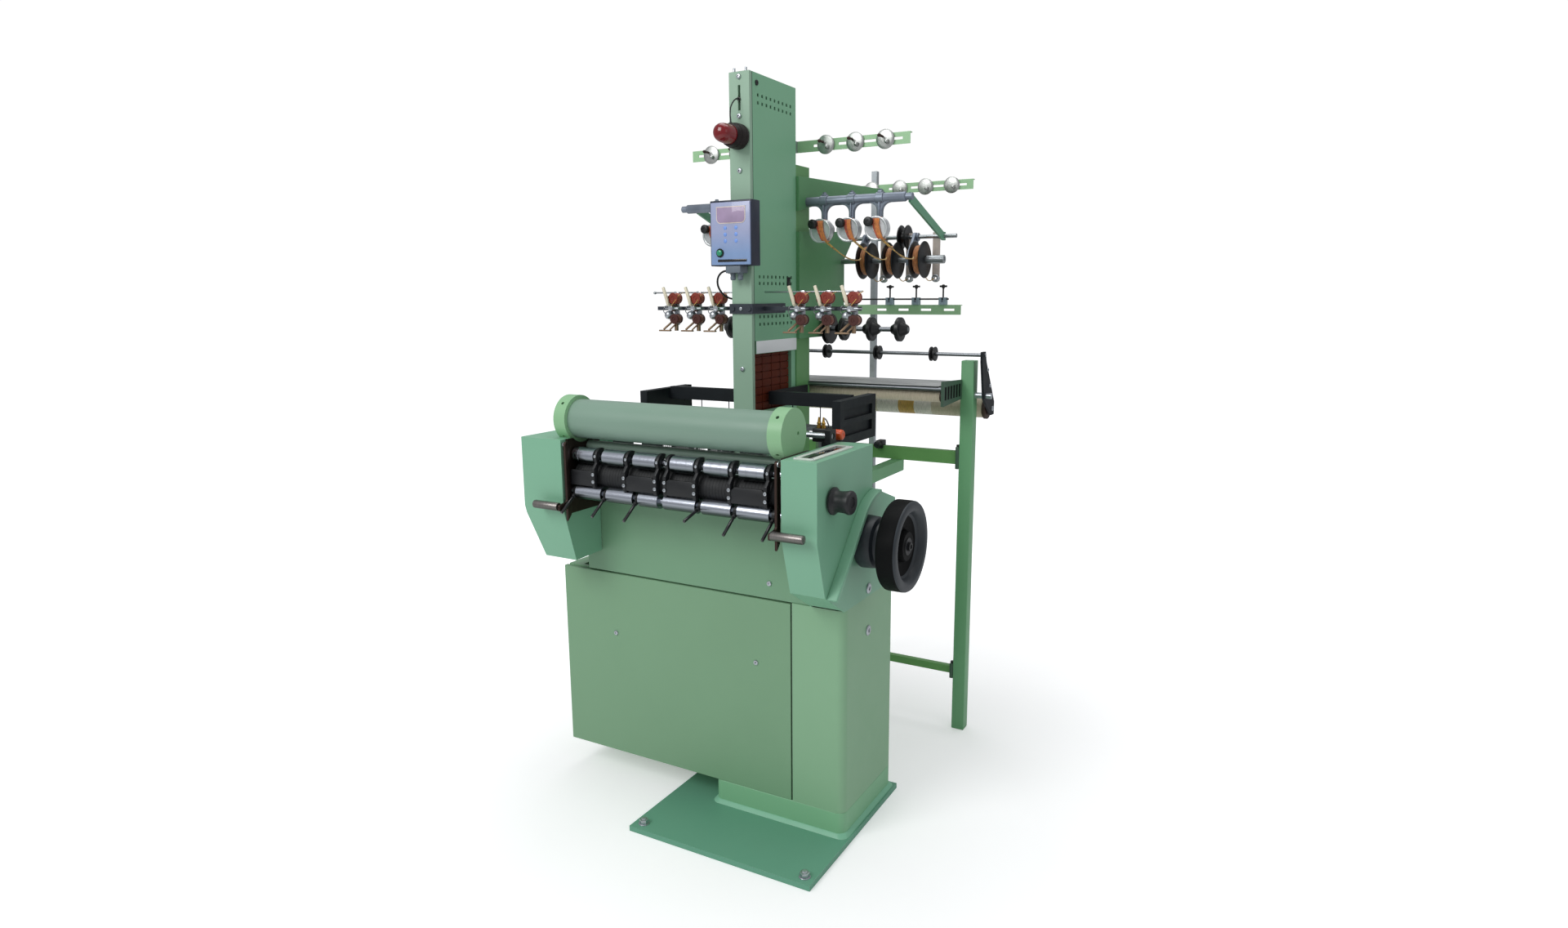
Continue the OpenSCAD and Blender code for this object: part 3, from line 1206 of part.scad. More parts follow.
module feeder_frame() {
  y0 = column_y[0];
  y1 = y0 + side_depth;
  color("#5f9a72") {
    difference() {
      plate_x(creel_plate_x, [[y0, side_z[0]], [y1 - side_ear_h, side_z[0]], [y1, side_z[0] + side_ear_h],
                  [y1, side_z[1] - 2 * side_ear_h], [y1 + side_ear, side_z[1] - side_ear_h / 2],
                  [y1 + side_ear, side_z[1] + side_ear_h / 2], [y0, side_z[1]]]);
      bar_x([creel_plate_x[0] - overrun, creel_plate_x[1] + overrun], feed_y, feed_z, feed_shaft_r + run_clear);
      bar_x([creel_plate_x[0] - overrun, creel_plate_x[1] + overrun], guide_shaft_y, guide_shaft_z,
         guide_shaft_r + run_clear);
      bar_x([creel_plate_x[0] - overrun, creel_plate_x[1] + overrun], rod_y, rod_z, rod_r + run_clear);
    }
    plate_x(creel_plate_x, [[y0, column_top - rail_h], [rail2_y, rail2_top - rail_h / 2],
                [rail2_y, column_top - 2 * rail_h], [y1, column_top - 2 * rail_h],
                [y0, column_top - 4 * rail_h]]);
  }
  for (s = sides) {
    start = s > 0 ? creel_plate_x[1] : tower_x[0];
    end = mid_x + s * clamp_reach[s > 0 ? 1 : 0];
    x = [min(start, end), max(start, end)];
    color("#3c4043")
    union() {
      slab(x, [clamp_y - clamp_half, clamp_y + clamp_half], [clamp_z - clamp_half, clamp_z + clamp_half]);
      for (i = slots) fork(mid_x + s * (feeder_first + i * feeder_pitch));
    }
  }
  color("#9aa0a4") bar_x([mid_x - rod_reach, mid_x + rod_reach], rod_y, rod_z, rod_r);
  for (s = sides) {
    x = mid_x + s * stay_x;
    back = clamp_y + clamp_half + joint_clear;
    color("#8ab873")
    difference() {
      plate_x([x - stay_t / 2, x + stay_t / 2],
          [[back, clamp_z + clamp_half], [back, clamp_z - clamp_half],
          [rod_y - rod_r, rod_z - 2 * rod_r], [rod_y + 2 * rod_r, rod_z - 2 * rod_r],
          [rod_y + 2 * rod_r, rod_z + 2 * rod_r], [rod_y - rod_r, rod_z + 2 * rod_r]]);
      bar_x([x - stay_t, x + stay_t], rod_y, rod_z, rod_r + run_clear);
    }
    for (h = hanger_x) {
      hx = mid_x + s * h;
      color("#7c8285")
      difference() {
        plate_x([hx - hanger_t / 2, hx + hanger_t / 2],
            [[rod_y - 2 * rod_r, rod_z + 2 * rod_r], [rod_y + 2 * rod_r, rod_z + 2 * rod_r],
            [rod_y + 2 * rod_r, rod_z - 2 * rod_r], [feed_y + 2 * feed_shaft_r, feed_z - 2 * feed_shaft_r],
            [feed_y - 2 * feed_shaft_r, feed_z - 2 * feed_shaft_r],
            [feed_y - 2 * feed_shaft_r, feed_z + feed_shaft_r]]);
        bar_x([hx - hanger_t, hx + hanger_t], rod_y, rod_z, rod_r + run_clear);
        bar_x([hx - hanger_t, hx + hanger_t], feed_y, feed_z, feed_shaft_r + run_clear);
      }
    }
    for (w = feed_first_shares) {
      ex = mid_x + s * w * feed_reach;
      color("#dfe0dc")
      difference() {
        slab([ex - eyelet_w / 2, ex + eyelet_w / 2], [rod_y, rod_y + eyelet_t],
          [rod_z - eyelet_h, rod_z + 2 * rod_r]);
        bar_x([ex - eyelet_w, ex + eyelet_w], rod_y, rod_z, rod_r + run_clear);
        bar_y([rod_y - overrun, rod_y + eyelet_t + overrun], ex, rod_z - eyelet_h + eyelet_w / 3, eyelet_w / 6);
      }
    }
  }
}
// Arm that forks out to the clamp bar, with a hub for the drum's spindle
module fork(x) {
  y = [clamp_y - fork_t / 2, clamp_y + fork_t / 2];
  top = clamp_z - clamp_half;
  plate_y(y, [[x - fork_w / 2, top + overrun], [x + fork_w / 2, top + overrun], [x + fork_w / 2, top - fork_t / 2],
        [x + fork_t / 2, top - fork_w / 2], [x + fork_t / 2, drum_hub_z],
        [x - fork_t / 2, drum_hub_z], [x - fork_t / 2, top - fork_w / 2], [x - fork_w / 2, top - fork_t / 2]]);
  bar_y(y, x, drum_hub_z, fork_t);
}

// Storage drums of the feeders, each with a black adjusting knob
drum_face_r = 38;
drum_len = 30;
feeder_knob_r = 15;
module feeder_drums() {
  for (s = sides, i = slots) {
    x = mid_x + s * (feeder_first + i * feeder_pitch);
    y = clamp_y - fork_t / 2;
    color("#dcdcd8")
    translate([x, y, drum_hub_z]) rotate([90, 0, 0]) rotate_extrude()
      polygon([[0, 0], [drum_face_r, 0], [drum_face_r, 0.15 * drum_len], [0.8 * drum_face_r, 0.3 * drum_len],
          [0.8 * drum_face_r, 0.75 * drum_len], [drum_face_r, 0.88 * drum_len],
          [drum_face_r, drum_len], [0, drum_len]]);
    color("#202225")
    bar_y([y - 1.6 * drum_len, y - drum_len], x - 0.53 * drum_face_r, drum_hub_z + 0.55 * drum_face_r, feeder_knob_r);
  }
}

// Feed shaft with six black double-flanged wheels
feed_first_shares = [0.42, 0.645, 0.872];
feed_wheel_w = 44;
flange_t = 5;
core_r = 22;
module feed_rollers() {
  color("#9aa0a4")
  bar_x([mid_x - feed_reach - hanger_t, mid_x + feed_reach + hanger_t], feed_y, feed_z, feed_shaft_r);
  for (s = sides, w = feed_first_shares) {
    x = mid_x + s * (w * feed_reach - 0.78 * feed_wheel_w);
    color("#1d1e20")
    difference() {
      union() {
        bar_x([x - feed_wheel_w / 2, x - feed_wheel_w / 2 + flange_t], feed_y, feed_z, feed_r);
        bar_x([x + feed_wheel_w / 2 - flange_t, x + feed_wheel_w / 2], feed_y, feed_z, feed_r);
        bar_x([x - feed_wheel_w / 2, x + feed_wheel_w / 2], feed_y, feed_z, core_r);
      }
      bar_x([x - feed_wheel_w, x + feed_wheel_w], feed_y, feed_z, feed_shaft_r + run_clear);
    }
  }
}

// Stop switches on the lower rail, and a black feeler lever on each
switch_first = 124;
switch_pitch = 105;
switch_w = 26;
switch_d = 26;
switch_h = 27;
stop_pin_r = 3;
stop_len = 46;
stop_ball_r = 7;
module stop_switches() {
  for (s = sides, i = slots) {
    x = mid_x + s * (switch_first + i * switch_pitch);
    y = [rail3_y - switch_d / 2, rail3_y + switch_d / 2];
    z = [rail3_top, rail3_top + switch_h];
    color("#c6c9ca")
    difference() {
      slab([x - switch_w / 2, x + switch_w / 2], y, z);
      slab([x - switch_w / 6, x + switch_w / 6], [y[0] - overrun, y[1] + overrun],
        [z[0] + switch_h / 3, z[1] + overrun]);
      bar_x([x - switch_w, x + switch_w], rail3_y, z[1] - 2 * stop_pin_r, stop_pin_r + run_clear);
    }
  }
}
module stop_levers() {
  z = rail3_top + switch_h - 2 * stop_pin_r;
  color("#1b1c1e")
  union() {
    bar_x([mid_x - switch_first - 2.2 * switch_pitch, mid_x + switch_first + 2.2 * switch_pitch],
       rail3_y, z, stop_pin_r);
    for (s = sides, i = slots) {
      x = mid_x + s * (switch_first + i * switch_pitch);
      bar_z(x, rail3_y, [z, z + stop_len], stop_pin_r);
      bar_x([x - 2 * stop_ball_r, x + 2 * stop_ball_r], rail3_y, z + stop_len, stop_ball_r / 2);
      translate([x, rail3_y, z + stop_len]) sphere(r = stop_ball_r);
    }
  }
}

// Tensioner strap round the tower, and the bar that carries the tension spools
strap_t = 6;
strap_z = [0.67639 * tower_top, 0.69028 * tower_top];
strap_back = 1.85106 * tower_front;
spool_bar_y = [1.2766 * tower_front, 1.31915 * tower_front];
spool_bar_z = [0.68056 * tower_top, 0.68611 * tower_top];
spool_bar_reach = 366;
module tensioner_bar() {
  color("#33373a")
  union() {
    slab([tower_x[0] - strap_t, tower_x[1] + strap_t], [tower_front - strap_t, tower_front], strap_z);
    for (x = [[tower_x[0] - strap_t, tower_x[0]], [tower_x[1], tower_x[1] + strap_t]])
      slab(x, [tower_front - strap_t, strap_back], strap_z);
    slab([tower_x[1] + strap_t, mid_x + spool_bar_reach], spool_bar_y, spool_bar_z);
    slab([mid_x - spool_bar_reach, tower_x[0] - strap_t], spool_bar_y, spool_bar_z);
  }
  color("silver")
  for (x = [tower_x[0] + strap_t, tower_x[1] - strap_t])
    head_y(x, tower_front - strap_t, (strap_z[0] + strap_z[1]) / 2, screw_head_r, screw_head_t);
}

// Tension spools in pairs on chrome plates, with brass feet
spool_first = [113, 175];
spool_pitch = 87;
spool_r = 20;
spool_rise = 33;
spool_len = 30;
spool_plate_t = 4;
module tension_spools() {
  z0 = (spool_bar_z[0] + spool_bar_z[1]) / 2;
  for (s = sides, i = slots) {
    x = mid_x + s * (spool_first[s > 0 ? 1 : 0] + i * spool_pitch);
    y = spool_bar_y[0] - spool_plate_t;
    color("#c2c5c6")
    union() {
      slab([x - spool_r / 2, x + spool_r / 2], [y, spool_bar_y[0]],
        [z0 - spool_rise - spool_r, z0 + spool_rise + spool_r]);
      bar_y([y - spool_plate_t, y], x, z0, spool_r / 2);
    }
    for (e = [-1, 1]) {
      color(e > 0 ? "#7a2f22" : "#8c4a2c")
      translate([x, y - joint_clear, z0 + e * spool_rise]) rotate([90, 0, 0]) rotate_extrude()
        polygon([[0, 0], [spool_r, 0], [spool_r, 0.1 * spool_len], [0.55 * spool_r, 0.2 * spool_len],
            [0.55 * spool_r, 0.8 * spool_len], [spool_r, 0.9 * spool_len],
            [spool_r, spool_len], [0, spool_len]]);
    }
    color("#b98d45")
    slab([x - spool_r / 3, x + spool_r / 3], [y, y + spool_plate_t],
      [z0 - 2 * spool_rise - spool_r / 3, z0 - spool_rise - spool_r]);
  }
}

// Guide wheels on a shaft through the creel's side plate
guide_first = 124;
guide_pitch = 102;
guide_wheel_r = 40;
guide_disc_r = 52;
guide_disc_x = 68;
guide_wheel_w = 18;
module guide_wheels() {
  color("#9aa0a4")
  bar_x([mid_x - guide_first - 2.3 * guide_pitch, mid_x + guide_first + 2.3 * guide_pitch],
     guide_shaft_y, guide_shaft_z, guide_shaft_r);
  for (s = sides) {
    color("#17181a") grooved(mid_x + s * guide_disc_x, guide_disc_r, guide_wheel_w);
    for (i = slots) color("#17181a") grooved(mid_x + s * (guide_first + i * guide_pitch), guide_wheel_r, guide_wheel_w);
  }
}
module grooved(x, r, w) {
  difference() {
    turned_x(x - w / 2, guide_shaft_y, guide_shaft_z,
        [[0, 0], [0, r], [0.2 * w, r], [0.4 * w, 0.75 * r], [0.6 * w, 0.75 * r], [0.8 * w, r], [w, r], [w, 0]]);
    bar_x([x - w, x + w], guide_shaft_y, guide_shaft_z, guide_shaft_r + run_clear);
  }
}

// Wheel rod over the rear posts, with small black wheels
wheel_rod_r = 6;
small_wheel_r = 24;
small_wheel_x = [27, 222, 423];
link_x = [mid_x - 0.77114 * rail_half, mid_x + 1.47264 * rail_half];
link_t = 8;
module wheel_rod() {
  color("#9aa0a4")
  bar_x([link_x[0] - link_t, link_x[1] + link_t + open_clear], wheel_rod_y, wheel_rod_z, wheel_rod_r);
  for (d = [-168, small_wheel_x[0], small_wheel_x[1], small_wheel_x[2]]) {
    x = mid_x + d;
    color("#1b1c1e")
    difference() {
      turned_x(x - guide_wheel_w / 2, wheel_rod_y, wheel_rod_z,
          [[0, 0], [0, small_wheel_r], [0.25 * guide_wheel_w, small_wheel_r],
           [0.5 * guide_wheel_w, 0.7 * small_wheel_r], [0.75 * guide_wheel_w, small_wheel_r],
           [guide_wheel_w, small_wheel_r], [guide_wheel_w, 0]]);
      bar_x([x - guide_wheel_w, x + guide_wheel_w], wheel_rod_y, wheel_rod_z, wheel_rod_r + run_clear);
    }
  }
}

// Rear stand: posts, cross rails, arms, cheeks with chrome rods, and links
post_y = [tower_back + 0.89085 * tower_depth, tower_back + 0.89085 * tower_depth + post_w];
post_mid = [mid_x - 0.61194 * rail_half, mid_x + 1.34826 * rail_half];
upper_rail_z = [0.949 * bed_wall_top, 0.994 * bed_wall_top];
lower_rail_z = [200, 226];
rail_pad = 7;
flange_plate_t = 10;
arm_x = [mid_x - 0.29104 * rail_half, mid_x + 0.72388 * rail_half];
arm_w = 40;
cheek_x_t = 10;
cheek_front = tower_back + 0.25 * tower_depth;
cheek_z = 0.92692 * post_h;
chrome_r = 7;
chrome_shares = [0.2, 0.45, 0.7, 0.94];
warp_y = tower_back + 1.22183 * tower_depth;
warp_z = 0.87308 * post_h;
warp_axle_r = 8;
stub_z = 0.91154 * post_h;
stub_r = 10;
module rear_stand() {
  inner = [post_mid[0] + post_w / 2, post_mid[1] - post_w / 2];
  side_in = [inner[0] + joint_clear, inner[1] - joint_clear];
  rail_y = [post_y[0] + rail_pad, post_y[1] - rail_pad];
  color("#5d9a62") {
    for (x = post_mid) slab([x - post_w / 2, x + post_w / 2], post_y, [0, post_h]);
    for (z = [upper_rail_z, lower_rail_z]) {
      slab(side_in, rail_y, z);
      for (x = [[side_in[0], side_in[0] + flange_plate_t], [side_in[1] - flange_plate_t, side_in[1]]])
        slab(x, post_y, [z[0] - rail_pad, z[1] + rail_pad]);
    }
    for (x = arm_x) slab([x - arm_w / 2, x + arm_w / 2], [body_back, rail_y[1]],
              [upper_rail_z[0] - arm_w, upper_rail_z[0] - joint_clear]);
  }
  cheek_y = [cheek_front, post_y[1]];
  for (x = [[side_in[0], side_in[0] + cheek_x_t], [side_in[1] - cheek_x_t, side_in[1]]])
    color("#6aa77c")
    plate_x(x, [[cheek_y[0], cheek_z - 4 * cheek_x_t], [cheek_y[1], cheek_z - 3 * cheek_x_t],
          [cheek_y[1], cheek_z + 3 * cheek_x_t], [cheek_y[0], cheek_z + 4 * cheek_x_t]]);
  for (c = chrome_shares)
    color("#c9ccd0")
    bar_x([side_in[0] + cheek_x_t + joint_clear, side_in[1] - cheek_x_t - joint_clear],
       cheek_y[0] + c * (cheek_y[1] - cheek_y[0]), cheek_z + 1.5 * cheek_x_t, chrome_r);
  mid_y = (post_y[0] + post_y[1]) / 2;
  for (i = [0, 1]) {
    x = i == 0 ? [link_x[0] - link_t, link_x[0]] : [link_x[1], link_x[1] + link_t];
    color("#6aa77c")
    difference() {
      link_plate(x);
      bar_x([x[0] - overrun, x[1] + overrun], wheel_rod_y, wheel_rod_z, wheel_rod_r + run_clear);
      bar_x([x[0] - overrun, x[1] + overrun], warp_y, warp_z, warp_axle_r + run_clear);
    }
    gap = i == 0 ? [x[1], post_mid[0] - post_w / 2] : [post_mid[1] + post_w / 2, x[0]];
    end = i == 0 ? [x[0] - 2 * stub_r, x[0]] : [x[1], x[1] + 2 * stub_r];
    color("#b9bec0") {
      bar_x([gap[0] + joint_clear, gap[1] - joint_clear], mid_y, stub_z, stub_r);
      bar_x([end[0] + (i == 0 ? 0 : joint_clear), end[1] - (i == 0 ? joint_clear : 0)], mid_y, stub_z, stub_r);
    }
  }
}
// A link from the wheel rod down past the stub to the roll's axle
module link_plate(x) {
  w = 2.2 * stub_r;
  plate_x(x, [[wheel_rod_y - w, wheel_rod_z + w / 2], [wheel_rod_y + w / 2, wheel_rod_z + w / 2],
        [wheel_rod_y + w, wheel_rod_z - w], [warp_y + w, warp_z + w], [warp_y + w, warp_z - w],
        [warp_y - w / 2, warp_z - w], [post_y[0], stub_z - w / 2], [wheel_rod_y - w, wheel_rod_z - w]]);
}

// Warp roll: an axle in the link plates, a pale roll and dark flanges
roll_reach = [286, 579];
roll_flange_t = 6;
module warp_roll() {
  color("#e6e2d2")
  union() {
    bar_x([mid_x - roll_reach[0], mid_x + roll_reach[1]], warp_y, warp_z, 0.9 * warp_r);
    bar_x([link_x[0] - link_t, link_x[1] + link_t], warp_y, warp_z, warp_axle_r);
  }
  color("#3a2a22")
  for (x = [mid_x - roll_reach[0], mid_x + roll_reach[1]])
    bar_x([x - roll_flange_t / 2, x + roll_flange_t / 2], warp_y, warp_z, warp_r);
}

base_plate();
bolts_and_screws();
pedestal_foot();
machine_body();
front_door();
upper_front_cover();
head_bed();
left_casing();
right_casing();
oil_fittings();
roller_side_plates();
front_tube();
tube_end_caps();
take_off_roller();
take_off_knob();
press_rollers();
roller_brackets();
press_lever(0);  // press_lever_1
press_lever(1);  // press_lever_2
press_lever(2);  // press_lever_3
press_lever(3);  // press_lever_4
press_lever(4);  // press_lever_5
press_lever(5);  // press_lever_6
left_release_lever();
right_release_lever();
main_shaft();
handwheel();
motor();
motor_pulley();
drive_belt();
batten();
weft_needles();
knitting_needles();
heald_frame(0);  // heald_frame_1
heald_frame(1);  // heald_frame_2
heald_frame(2);  // heald_frame_3
heald_frame(3);  // heald_frame_4
shed_frame();
pattern_drum();
pattern_chain();
tower_frame();
tower_cover();
control_box();
push_button();
control_box_lead();
beacon();
beacon_lead();
creel_rails();
thread_tensioners();
feeder_frame();
feeder_drums();
feed_rollers();
stop_switches();
stop_levers();
tensioner_bar();
tension_spools();
guide_wheels();
wheel_rod();
rear_stand();
warp_roll();
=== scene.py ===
import math

import bmesh
import bpy
from mathutils import Matrix, Vector


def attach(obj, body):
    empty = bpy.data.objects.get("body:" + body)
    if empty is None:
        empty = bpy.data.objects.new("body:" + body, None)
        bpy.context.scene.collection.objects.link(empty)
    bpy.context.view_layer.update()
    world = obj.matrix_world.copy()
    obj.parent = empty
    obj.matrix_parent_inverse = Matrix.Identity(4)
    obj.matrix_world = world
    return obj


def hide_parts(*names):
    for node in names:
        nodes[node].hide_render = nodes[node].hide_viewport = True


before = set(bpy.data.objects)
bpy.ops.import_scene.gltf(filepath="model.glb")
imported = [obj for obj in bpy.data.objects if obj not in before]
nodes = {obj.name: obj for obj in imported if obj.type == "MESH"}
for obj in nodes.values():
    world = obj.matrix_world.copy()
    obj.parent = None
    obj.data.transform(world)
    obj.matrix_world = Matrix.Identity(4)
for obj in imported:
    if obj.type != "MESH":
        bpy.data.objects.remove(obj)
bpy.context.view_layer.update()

# Webbing loom: a green six-head needle loom with a pattern tower, a yarn creel and a warp stand.
# Lengths are millimetres in the tables below, and metres in the meshes. An outline in quotes lists its
# points, each as two numbers with a comma between them.
MM = 0.001


# Camera

YAW, PITCH, ROLL = math.radians(29.15), math.radians(10.27), math.radians(-0.34)


def set_camera():
    ahead = Vector((-math.sin(YAW) * math.cos(PITCH), math.cos(YAW) * math.cos(PITCH), -math.sin(PITCH)))
    right = Vector((math.cos(YAW), math.sin(YAW), 0))
    up = right.cross(ahead)
    across = right * math.cos(ROLL) + up * math.sin(ROLL)
    upright = up * math.cos(ROLL) - right * math.sin(ROLL)
    bpy.ops.object.select_all(action="DESELECT")
    bpy.ops.object.camera_add()
    camera = bpy.context.object
    camera.name = "photo_camera"
    turn = Matrix((across, upright, -ahead)).transposed().to_4x4()
    camera.matrix_world = Matrix.Translation((1.297, -2.217, 1.516)) @ turn
    camera.data.sensor_width = 36
    camera.data.lens = 21.375
    camera.data.clip_end = 60
    bpy.context.scene.camera = camera


set_camera()


# Shader wiring, and the node groups that more than one finish uses

def linear(code):
    """A paint colour such as #769b7d, as the shader wants it."""
    parts = [int(code[i:i + 2], 16) / 255 for i in (1, 3, 5)]
    return tuple(c / 12.92 if c <= 0.04045 else ((c + 0.055) / 1.055) ** 2.4 for c in parts) + (1.0,)


class Wiring:
    """A shader tree in the making: each call adds a node, and most give back what it puts out."""

    def __init__(self, tree):
        self.tree = tree

    def join(self, value, socket):
        """Fills an input from a socket or with a plain value."""
        if isinstance(value, bpy.types.NodeSocket):
            self.tree.links.new(value, socket)
        elif value is not None:
            socket.default_value = value

    def node(self, kind, *given, **settings):
        made = self.tree.nodes.new("ShaderNode" + kind)
        made.location = (180 * len(self.tree.nodes), 0)
        for name, value in settings.items():
            setattr(made, name, value)
        for slot, value in enumerate(given):
            self.join(value, made.inputs[slot])
        return made

    def number(self, operation, first, second):
        return self.node("Math", first, second, operation=operation).outputs[0]

    def spread(self, value, low, high, out_low, out_high):
        return self.node("MapRange", value, low, high, out_low, out_high).outputs[0]

    def tinted(self, colour, value):
        """The colour, brighter or darker by a value round 1."""
        made = self.node("HueSaturation")
        self.join(colour, made.inputs["Color"])
        self.join(value, made.inputs["Value"])
        return made.outputs[0]

    def varied(self, colour, cloud, low, high, amount):
        """The colour, tinted by a cloud's drift to either side."""
        darker, lighter = (self.number(way, 1.0, amount) for way in ("SUBTRACT", "ADD"))
        return self.tinted(colour, self.spread(cloud, low, high, darker, lighter))

    def blended(self, share, first, second):
        made = self.node("Mix", share, data_type="RGBA")
        self.join(first, made.inputs[6])
        self.join(second, made.inputs[7])
        return made.outputs[2]

    def noise(self, place, scale, detail=3.0, roughness=0.55):
        return self.node("TexNoise", place, None, scale, detail, roughness).outputs["Fac"]

    def place(self):
        return self.node("TexCoord").outputs["Object"]

    def facing(self):
        return self.node("NewGeometry").outputs["Normal"]

    def height_of(self, vector):
        return self.node("SeparateXYZ", vector).outputs["Z"]

    def vector(self, operation, *given):
        return self.node("VectorMath", *given, operation=operation)


def start_group(name, **inputs):
    """A new node group that takes these inputs, and puts out a colour, a roughness and a height."""
    group = bpy.data.node_groups.new(name, "ShaderNodeTree")
    for label, value in inputs.items():
        kind = "Float" if isinstance(value, float) else {3: "Vector", 4: "Color"}[len(value)]
        socket = group.interface.new_socket(label, in_out="INPUT", socket_type="NodeSocket" + kind)
        socket.default_value = value
    for label, kind in ("Colour", "Color"), ("Roughness", "Float"), ("Height", "Float"):
        group.interface.new_socket(label, in_out="OUTPUT", socket_type="NodeSocket" + kind)
    return Wiring(group), group.nodes.new("NodeGroupInput").outputs


def close_group(wires, *outcome):
    """Gives out a colour, a roughness and a height."""
    for value, socket in zip(outcome, wires.tree.nodes.new("NodeGroupOutput").inputs):
        wires.join(value, socket)
    return wires.tree


def make_paint_coat():
    """Sprayed machine paint: drifting tone, orange peel, dust on upward faces, and rubbed edges lighter
    towards the bare coat, partly wear and partly a painted edge highlight.
    """
    coat, given = start_group("paint_coat", Paint=linear("#769b7d"), Drift=0.05, Peel=420.0, Dust=0.1, Rub=0.4,
        Bare=linear("#b9c4b4"))
    place, normal = coat.place(), coat.facing()
    toned = coat.varied(given["Paint"], coat.noise(place, 2.4), 0.32, 0.68, given["Drift"])
    streaks = coat.noise(place, 13.0)
    upward = coat.spread(coat.height_of(normal), 0.35, 1.0, 0.0, 1.0)
    dust = coat.number("MULTIPLY", coat.number("MULTIPLY", upward, streaks), given["Dust"])
    dusted = coat.blended(dust, toned, linear("#b6b8ab"))
    # Rubbed edges: lighter towards the bare coat, partly wear and partly a painted edge highlight.
    round_over = coat.node("Bevel", 0.0016, samples=4).outputs[0]
    edge = coat.spread(coat.vector("DOT_PRODUCT", round_over, normal).outputs["Value"], 0.985, 0.9, 0.0, 1.0)
    broken = coat.spread(coat.noise(place, 55.0), 0.42, 0.62, 0.0, 1.0)
    rub_and_highlight = coat.number("MULTIPLY", coat.number("MULTIPLY", edge, broken), given["Rub"])
    gloss = coat.spread(streaks, 0.3, 0.7, 0.36, 0.46)
    return close_group(coat, coat.blended(rub_and_highlight, dusted, given["Bare"]), coat.number("ADD", gloss, dust),
        coat.noise(place, given["Peel"], 1.5, None))


def make_turned_metal():
    """Bright or grey metal with fine tool marks, close together along one axis. Faces turned downward take a
    painted dark green reflection and shade.
    """
    skin, given = start_group("turned_metal", Metal=linear("#c9ccd0"), Marks=(900.0, 20.0, 20.0),
        Contrast=0.08, Smooth=0.16, Rough=0.32, Under=linear("#26392e"), Shade=0.0)
    place = skin.place()
    drawn = skin.vector("MULTIPLY", place, given["Marks"]).outputs[0]
    marks = skin.noise(drawn, 1.0, 4.0, 0.6)
    toned = skin.varied(given["Metal"], marks, 0.3, 0.7, given["Contrast"])
    # Painted reflection and shade: faces turned downward blend towards a dark green, the machine's body as
    # seen in the metal, as far as Shade asks.
    below = skin.spread(skin.height_of(skin.facing()), -0.5, 0.25, 1.0, 0.0)
    colour = skin.blended(skin.number("MULTIPLY", below, given["Shade"]), toned, given["Under"])
    both = skin.number("ADD", marks, skin.noise(place, 22.0, 3.0, 0.6))
    return close_group(skin, colour, skin.spread(both, 0.7, 1.3, given["Smooth"], given["Rough"]), marks)


def make_cast_skin():
    """Black or grey cast and moulded parts: fine grain, handled patches and pale dust on top."""
    skin, given = start_group("cast_skin", Tint=linear("#26282b"), Grain=650.0, Smooth=0.32, Rough=0.5,
        Dust=0.12)
    place = skin.place()
    patches = skin.noise(place, 18.0)
    toned = skin.tinted(given["Tint"], skin.spread(patches, 0.3, 0.7, 0.86, 1.16))
    upward = skin.spread(skin.height_of(skin.facing()), 0.3, 1.0, 0.0, 1.0)
    dust = skin.number("MULTIPLY", skin.number("MULTIPLY", upward, patches), given["Dust"])
    rough = skin.spread(patches, 0.3, 0.7, given["Smooth"], given["Rough"])
    grain = skin.noise(place, given["Grain"], 2.5, None)
    return close_group(skin, skin.blended(dust, toned, linear("#8f9188")), rough, grain)


def make_yarn_lay():
    """Wound or stretched yarn: fine turns side by side along one axis, with a twist and lighter fuzz."""
    lay, given = start_group("yarn_lay", Yarn=linear("#d8821f"), Shadow=linear("#8a3c12"),
        Turns=(1400.0, 60.0, 60.0), Fuzz=0.3)
    place = lay.place()
    turns = lay.noise(lay.vector("MULTIPLY", place, given["Turns"]).outputs[0], 1.0, 3.0, 0.5)
    packs = lay.noise(place, 40.0, 2.0, 0.5)
    laid = lay.blended(lay.spread(turns, 0.34, 0.6, 0.0, 1.0), given["Shadow"], given["Yarn"])
    fluffy = lay.blended(lay.number("MULTIPLY", packs, given["Fuzz"]), laid, linear("#efe2c4"))
    return close_group(lay, fluffy, lay.spread(packs, 0.3, 0.7, 0.6, 0.85), turns)


paint_coat, turned_metal, cast_skin, yarn_lay = (
    make_paint_coat(), make_turned_metal(), make_cast_skin(), make_yarn_lay())


# Finishes: each holds its own shader, and takes its pattern from one of the groups

FINISHES = {}


def new_material(name):
    """A new material, its wiring and the inputs of its shader."""
    made = bpy.data.materials.new(name)
    made.use_nodes = True
    FINISHES[name] = made
    return Wiring(made.node_tree), made.node_tree.nodes["Principled BSDF"].inputs


def finish_from(name, group, bump, depth, inputs, **shader_values):
    """A material whose colour, roughness and bump come from a group, with its own plain shader values."""
    wires, shader = new_material(name)
    for label, value in shader_values.items():
        shader[label.replace("_", " ")].default_value = value
    skin = wires.node("Group", node_tree=group)
    for label, value in inputs.items():
        skin.inputs[label].default_value = value
    relief = wires.node("Bump")
    for label, value in (("Strength", bump), ("Distance", depth), ("Height", skin.outputs["Height"])):
        wires.join(value, relief.inputs[label])
    for label, value in (("Base Color", skin.outputs["Colour"]), ("Roughness", skin.outputs["Roughness"]),
                         ("Normal", relief.outputs[0])):
        wires.join(value, shader[label])


# rub: how far the edges lighten, partly rubbed wear and partly a painted edge highlight.
def paint(name, colour, drift=0.022, dust=0.06, rub_and_highlight=0.3, peel=420.0, bump=0.035):
    finish_from(name, paint_coat, bump, 0.0004,
        {"Paint": linear(colour), "Drift": drift, "Dust": dust, "Rub": rub_and_highlight, "Peel": peel})
